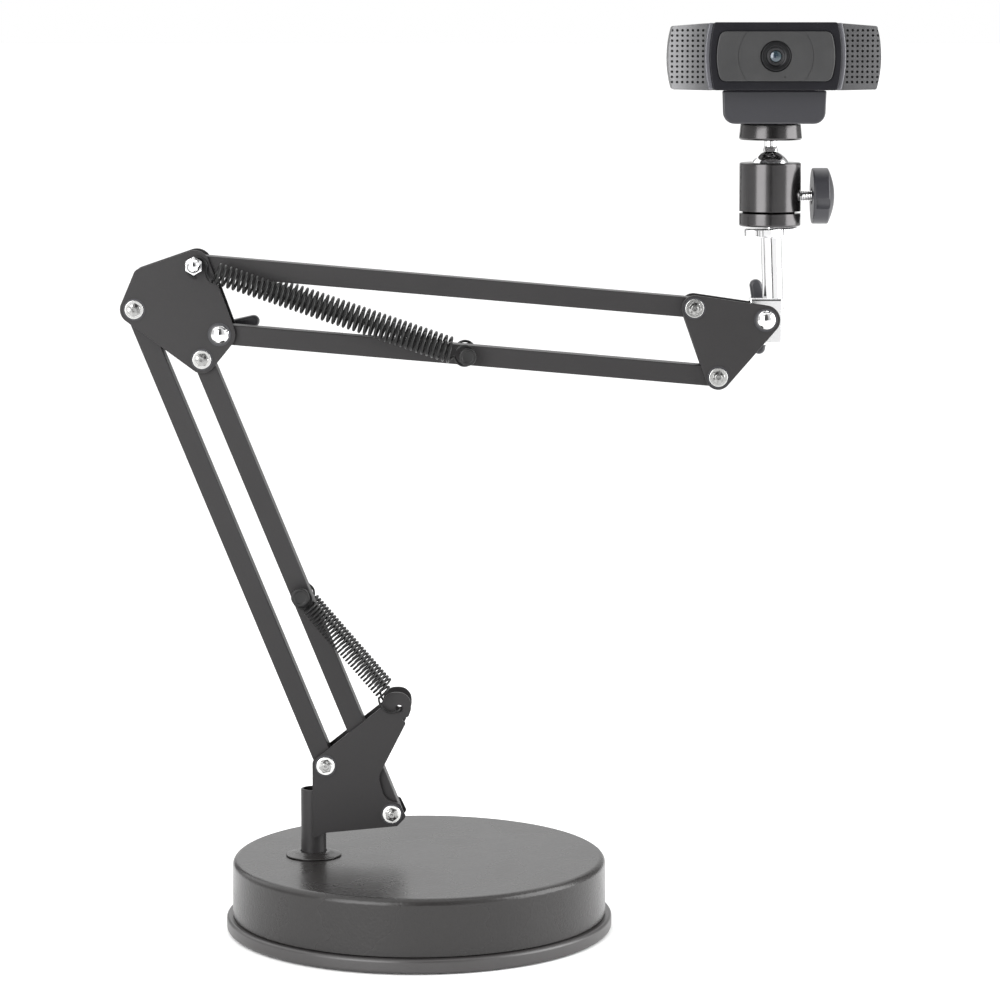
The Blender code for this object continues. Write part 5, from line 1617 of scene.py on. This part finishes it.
    def make_gland(self) -> None:
        """Ribbed gland at the back."""
        low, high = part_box("cable_gland")
        centre = Vector((middle("cable_gland").x, 0, middle("cable_gland").z))
        root, tip = low.y / MM, high.y / MM
        ribs = []
        for k in range(4):
            at = tip - 0.9 - k * 1.1
            ribs += [(2.1 + k * 0.17, at, 0.1), (2.1 + k * 0.17, at - 0.35, 0.1),
                     (1.75 + k * 0.17, at - 0.45, 0.05), (1.75 + k * 0.17, at - 0.95, 0.05)]
        gland = turned("cable_gland_moulded", rounded_path(
            [(0, tip - 0.6, 0), (1.2, tip - 0.6, 0.1), (1.2, tip, 0.1), (2.0, tip, 0.2), *ribs,
             (4.2, self.back + 0.6, 0.2), (4.2, self.back + 0.3, 0.1), (2.9, self.back + 0.3, 0.05),
             (2.9, root, 0.2), (0, root, 0)], closed=False), centre, Y, 48)
        fit(soften(gland, 0), BLACK_PLASTIC, "webcam", "cable_gland")

    def make_clip(self) -> None:
        """Folding clip: the arm with its front lip, and the ribbed foot under it."""
        low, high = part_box("clip_arm")
        half, foot = (high.x - low.x) / 2 / MM, low.z / MM
        fold, tilt = joint_point("clip_fold"), joint_point("webcam_tilt")
        lip_back = low.y / MM + 4.0
        middle_x = tilt.x / MM
        top = foot + 14.3
        plate_low = top - 2.3
        corners = [(middle_x - half, top, 0.8), (middle_x - half + 0.5, foot, 5.0),
                   (middle_x + half - 0.5, foot, 5.0), (middle_x + half, top, 0.8)]
        lip = plate("clip_arm_moulded", rounded_path(corners), low.y, lip_back * MM)
        soften(lip, 0.9 * MM, 5, 60)
        deck = plate("deck", rounded_path(
            [(middle_x - half + 4.2, plate_low, 0.4), (middle_x + half - 4.2, plate_low, 0.4),
             (middle_x + half - 4.2, top, 0.6), (middle_x - half + 4.2, top, 0.6)]),
            (lip_back - 2) * MM, high.y)
        soften(deck, 0.5 * MM, 3, 60)
        carve(lip, deck, operation="UNION")
        for side in (-1, 1):
            lug_at = fold + Vector((side * 10.6, 0, 0)) * MM
            lug = block("lug", lug_at + Vector((-2.0, -3.0, -3.3)) * MM,
                        lug_at + Vector((2.0, 3.0, 5.7)) * MM)
            ear_at = tilt + Vector((side * 6.2, 0, -1.6)) * MM
            ear = block("ear", ear_at + Vector((-1.5, -3.5, -4.7)) * MM,
                        ear_at + Vector((1.5, 3.5, 4.7)) * MM)
            carve(lip, soften(lug, 1.0 * MM, 4, 60), soften(ear, 1.2 * MM, 4, 60),
                  operation="UNION")
        carve(lip, rod("fold_bore", 1.7 * MM, fold - X * 0.05, fold + X * 0.05, 32),
              rod("tilt_bore", 1.5 * MM, tilt - X * 0.05, tilt + X * 0.05, 32))
        fit(soften(lip, 0), BLACK_PLASTIC, "clip_arm", "clip_arm")
        keep("clip_foot", BLACK_PLASTIC)


# ---------------------------------------------------------------- studio

@dataclass
class Studio:
    """Pale floor, soft lights and the camera."""

    camera_at: tuple[float, float, float] = (0.03623, -1.58, 0.4037)
    camera_pitch: float = 82.405
    lens: float = 129.6
    floor_radius: float = 60.0

    def build(self) -> None:
        """Make the floor, the world, the lights and the camera."""
        self.make_floor()
        self.make_world()
        self.make_lights()
        self.make_flags()
        self.make_camera()
        bpy.context.scene.view_settings.view_transform = "Standard"

    def make_floor(self) -> None:
        """Wide pale floor."""
        clear_bench()
        bpy.ops.mesh.primitive_circle_add(vertices=96, radius=self.floor_radius, fill_type="NGON")
        floor = bpy.context.object
        floor.name = "studio_floor"
        material = bpy.data.materials.new("pale_floor")
        material.use_nodes = True
        graph = Graph(material.node_tree)
        tone = graph.noise(0.4, 2.0)
        graph.surface(Base_Color=graph.mix(tone, (0.90, 0.90, 0.90, 1), (0.93, 0.93, 0.93, 1)),
                      Roughness=0.9)
        floor.data.materials.append(material)

    def make_world(self) -> None:
        """White surround, darker on the camera's side so that polished metal shows its shape."""
        world = bpy.data.worlds.new("soft_surround")
        bpy.context.scene.world = world
        world.use_nodes = True
        graph = Graph(world.node_tree)
        where = graph.signal("ShaderNodeTexCoord", {}, {}, "Generated")
        axes = graph.node("ShaderNodeSeparateXYZ", {}, {"Vector": where})
        turn = graph.math("ARCTAN2", Signal(graph, axes.outputs[0]),
                          Signal(graph, axes.outputs[1]) * -1.0)
        share = turn * (0.5 / math.pi) + 0.5
        stops = [(0.0, 0.95), (0.15, 0.9), (0.20, 0.75), (0.44, 0.8), (0.47, 0.12), (0.55, 0.12),
                 (0.58, 0.7), (0.66, 0.9), (0.83, 0.6), (0.90, 0.5), (1.0, 0.95)]
        bands = graph.signal("ShaderNodeValToRGB", {"stops": stops}, {"Fac": share}, "Color")
        seen = graph.signal("ShaderNodeLightPath", {}, {}, "Is Camera Ray")
        tone = graph.mix(seen, bands, (1.0, 1.0, 1.0, 1.0))
        background = world.node_tree.nodes["Background"]
        world.node_tree.links.new(tone.socket, background.inputs["Color"])
        background.inputs["Strength"].default_value = 1.0

    def make_lights(self) -> None:
        """A broad overhead light and two tall soft boxes."""
        clear_bench()
        bpy.ops.object.light_add(type="SUN", rotation=(math.radians(-18), math.radians(-14), 0))
        sun = bpy.context.object.data
        sun.energy = 1.9
        sun.angle = math.radians(100)
        for azimuth, width, power in ((-34.5, 1.2, 34.0), (84, 1.45, 42.0)):
            angle = math.radians(azimuth)
            away = Vector((math.sin(angle), -math.cos(angle), 0.25)).normalized() * 1.7
            turn = away.to_track_quat("Z", "Y").to_euler()
            bpy.ops.object.light_add(type="AREA", location=away + Z * 0.25, rotation=turn)
            bpy.context.object.visible_camera = False
            box = bpy.context.object.data
            box.shape = "RECTANGLE"
            box.size, box.size_y = width, 1.6
            box.energy = power

    def make_flags(self) -> None:
        """Tall black cards out of the camera's sight, whose reflections draw polished metal."""
        material = bpy.data.materials.new("flag_cloth")
        material.use_nodes = True
        graph = Graph(material.node_tree)
        weave = graph.noise(0.01, 2.0)
        graph.surface(Base_Color=graph.mix(weave, (0.01, 0.01, 0.01, 1), (0.02, 0.02, 0.02, 1)),
                      Roughness=0.9)
        for k, (azimuth, width) in enumerate(((2.0, 0.42), (-150.0, 0.5), (140.0, 0.3))):
            angle = math.radians(azimuth)
            clear_bench()
            bpy.ops.mesh.primitive_plane_add(size=1)
            flag = bpy.context.object
            flag.name = f"flag_{k}"
            flag.matrix_world = (Matrix.Translation(Vector((math.sin(angle), -math.cos(angle), 0))
                                                    * 2.3 + Z * 0.9)
                                 @ Matrix.Rotation(angle, 4, "Z") @ Matrix.Rotation(math.pi / 2, 4, "X")
                                 @ Matrix.Diagonal((width, 1.8, 1, 1)))
            flag.visible_camera = False
            flag.visible_shadow = False
            flag.data.materials.append(material)

    def make_camera(self) -> None:
        """Camera at the working view."""
        clear_bench()
        bpy.ops.object.camera_add(location=self.camera_at,
                                  rotation=(math.radians(self.camera_pitch), 0, 0))
        camera = bpy.context.object
        camera.data.lens = self.lens
        bpy.context.scene.camera = camera


def main() -> None:
    """Build the webcam arm and its studio."""
    logging.basicConfig(level=logging.INFO, format="%(name)s: %(message)s")
    WeightedBase().build()
    ShoulderPost().build()
    BalancedArm().build()
    BallHead().build()
    Webcam().build()
    Studio().build()


if __name__ == "__main__":
    main()
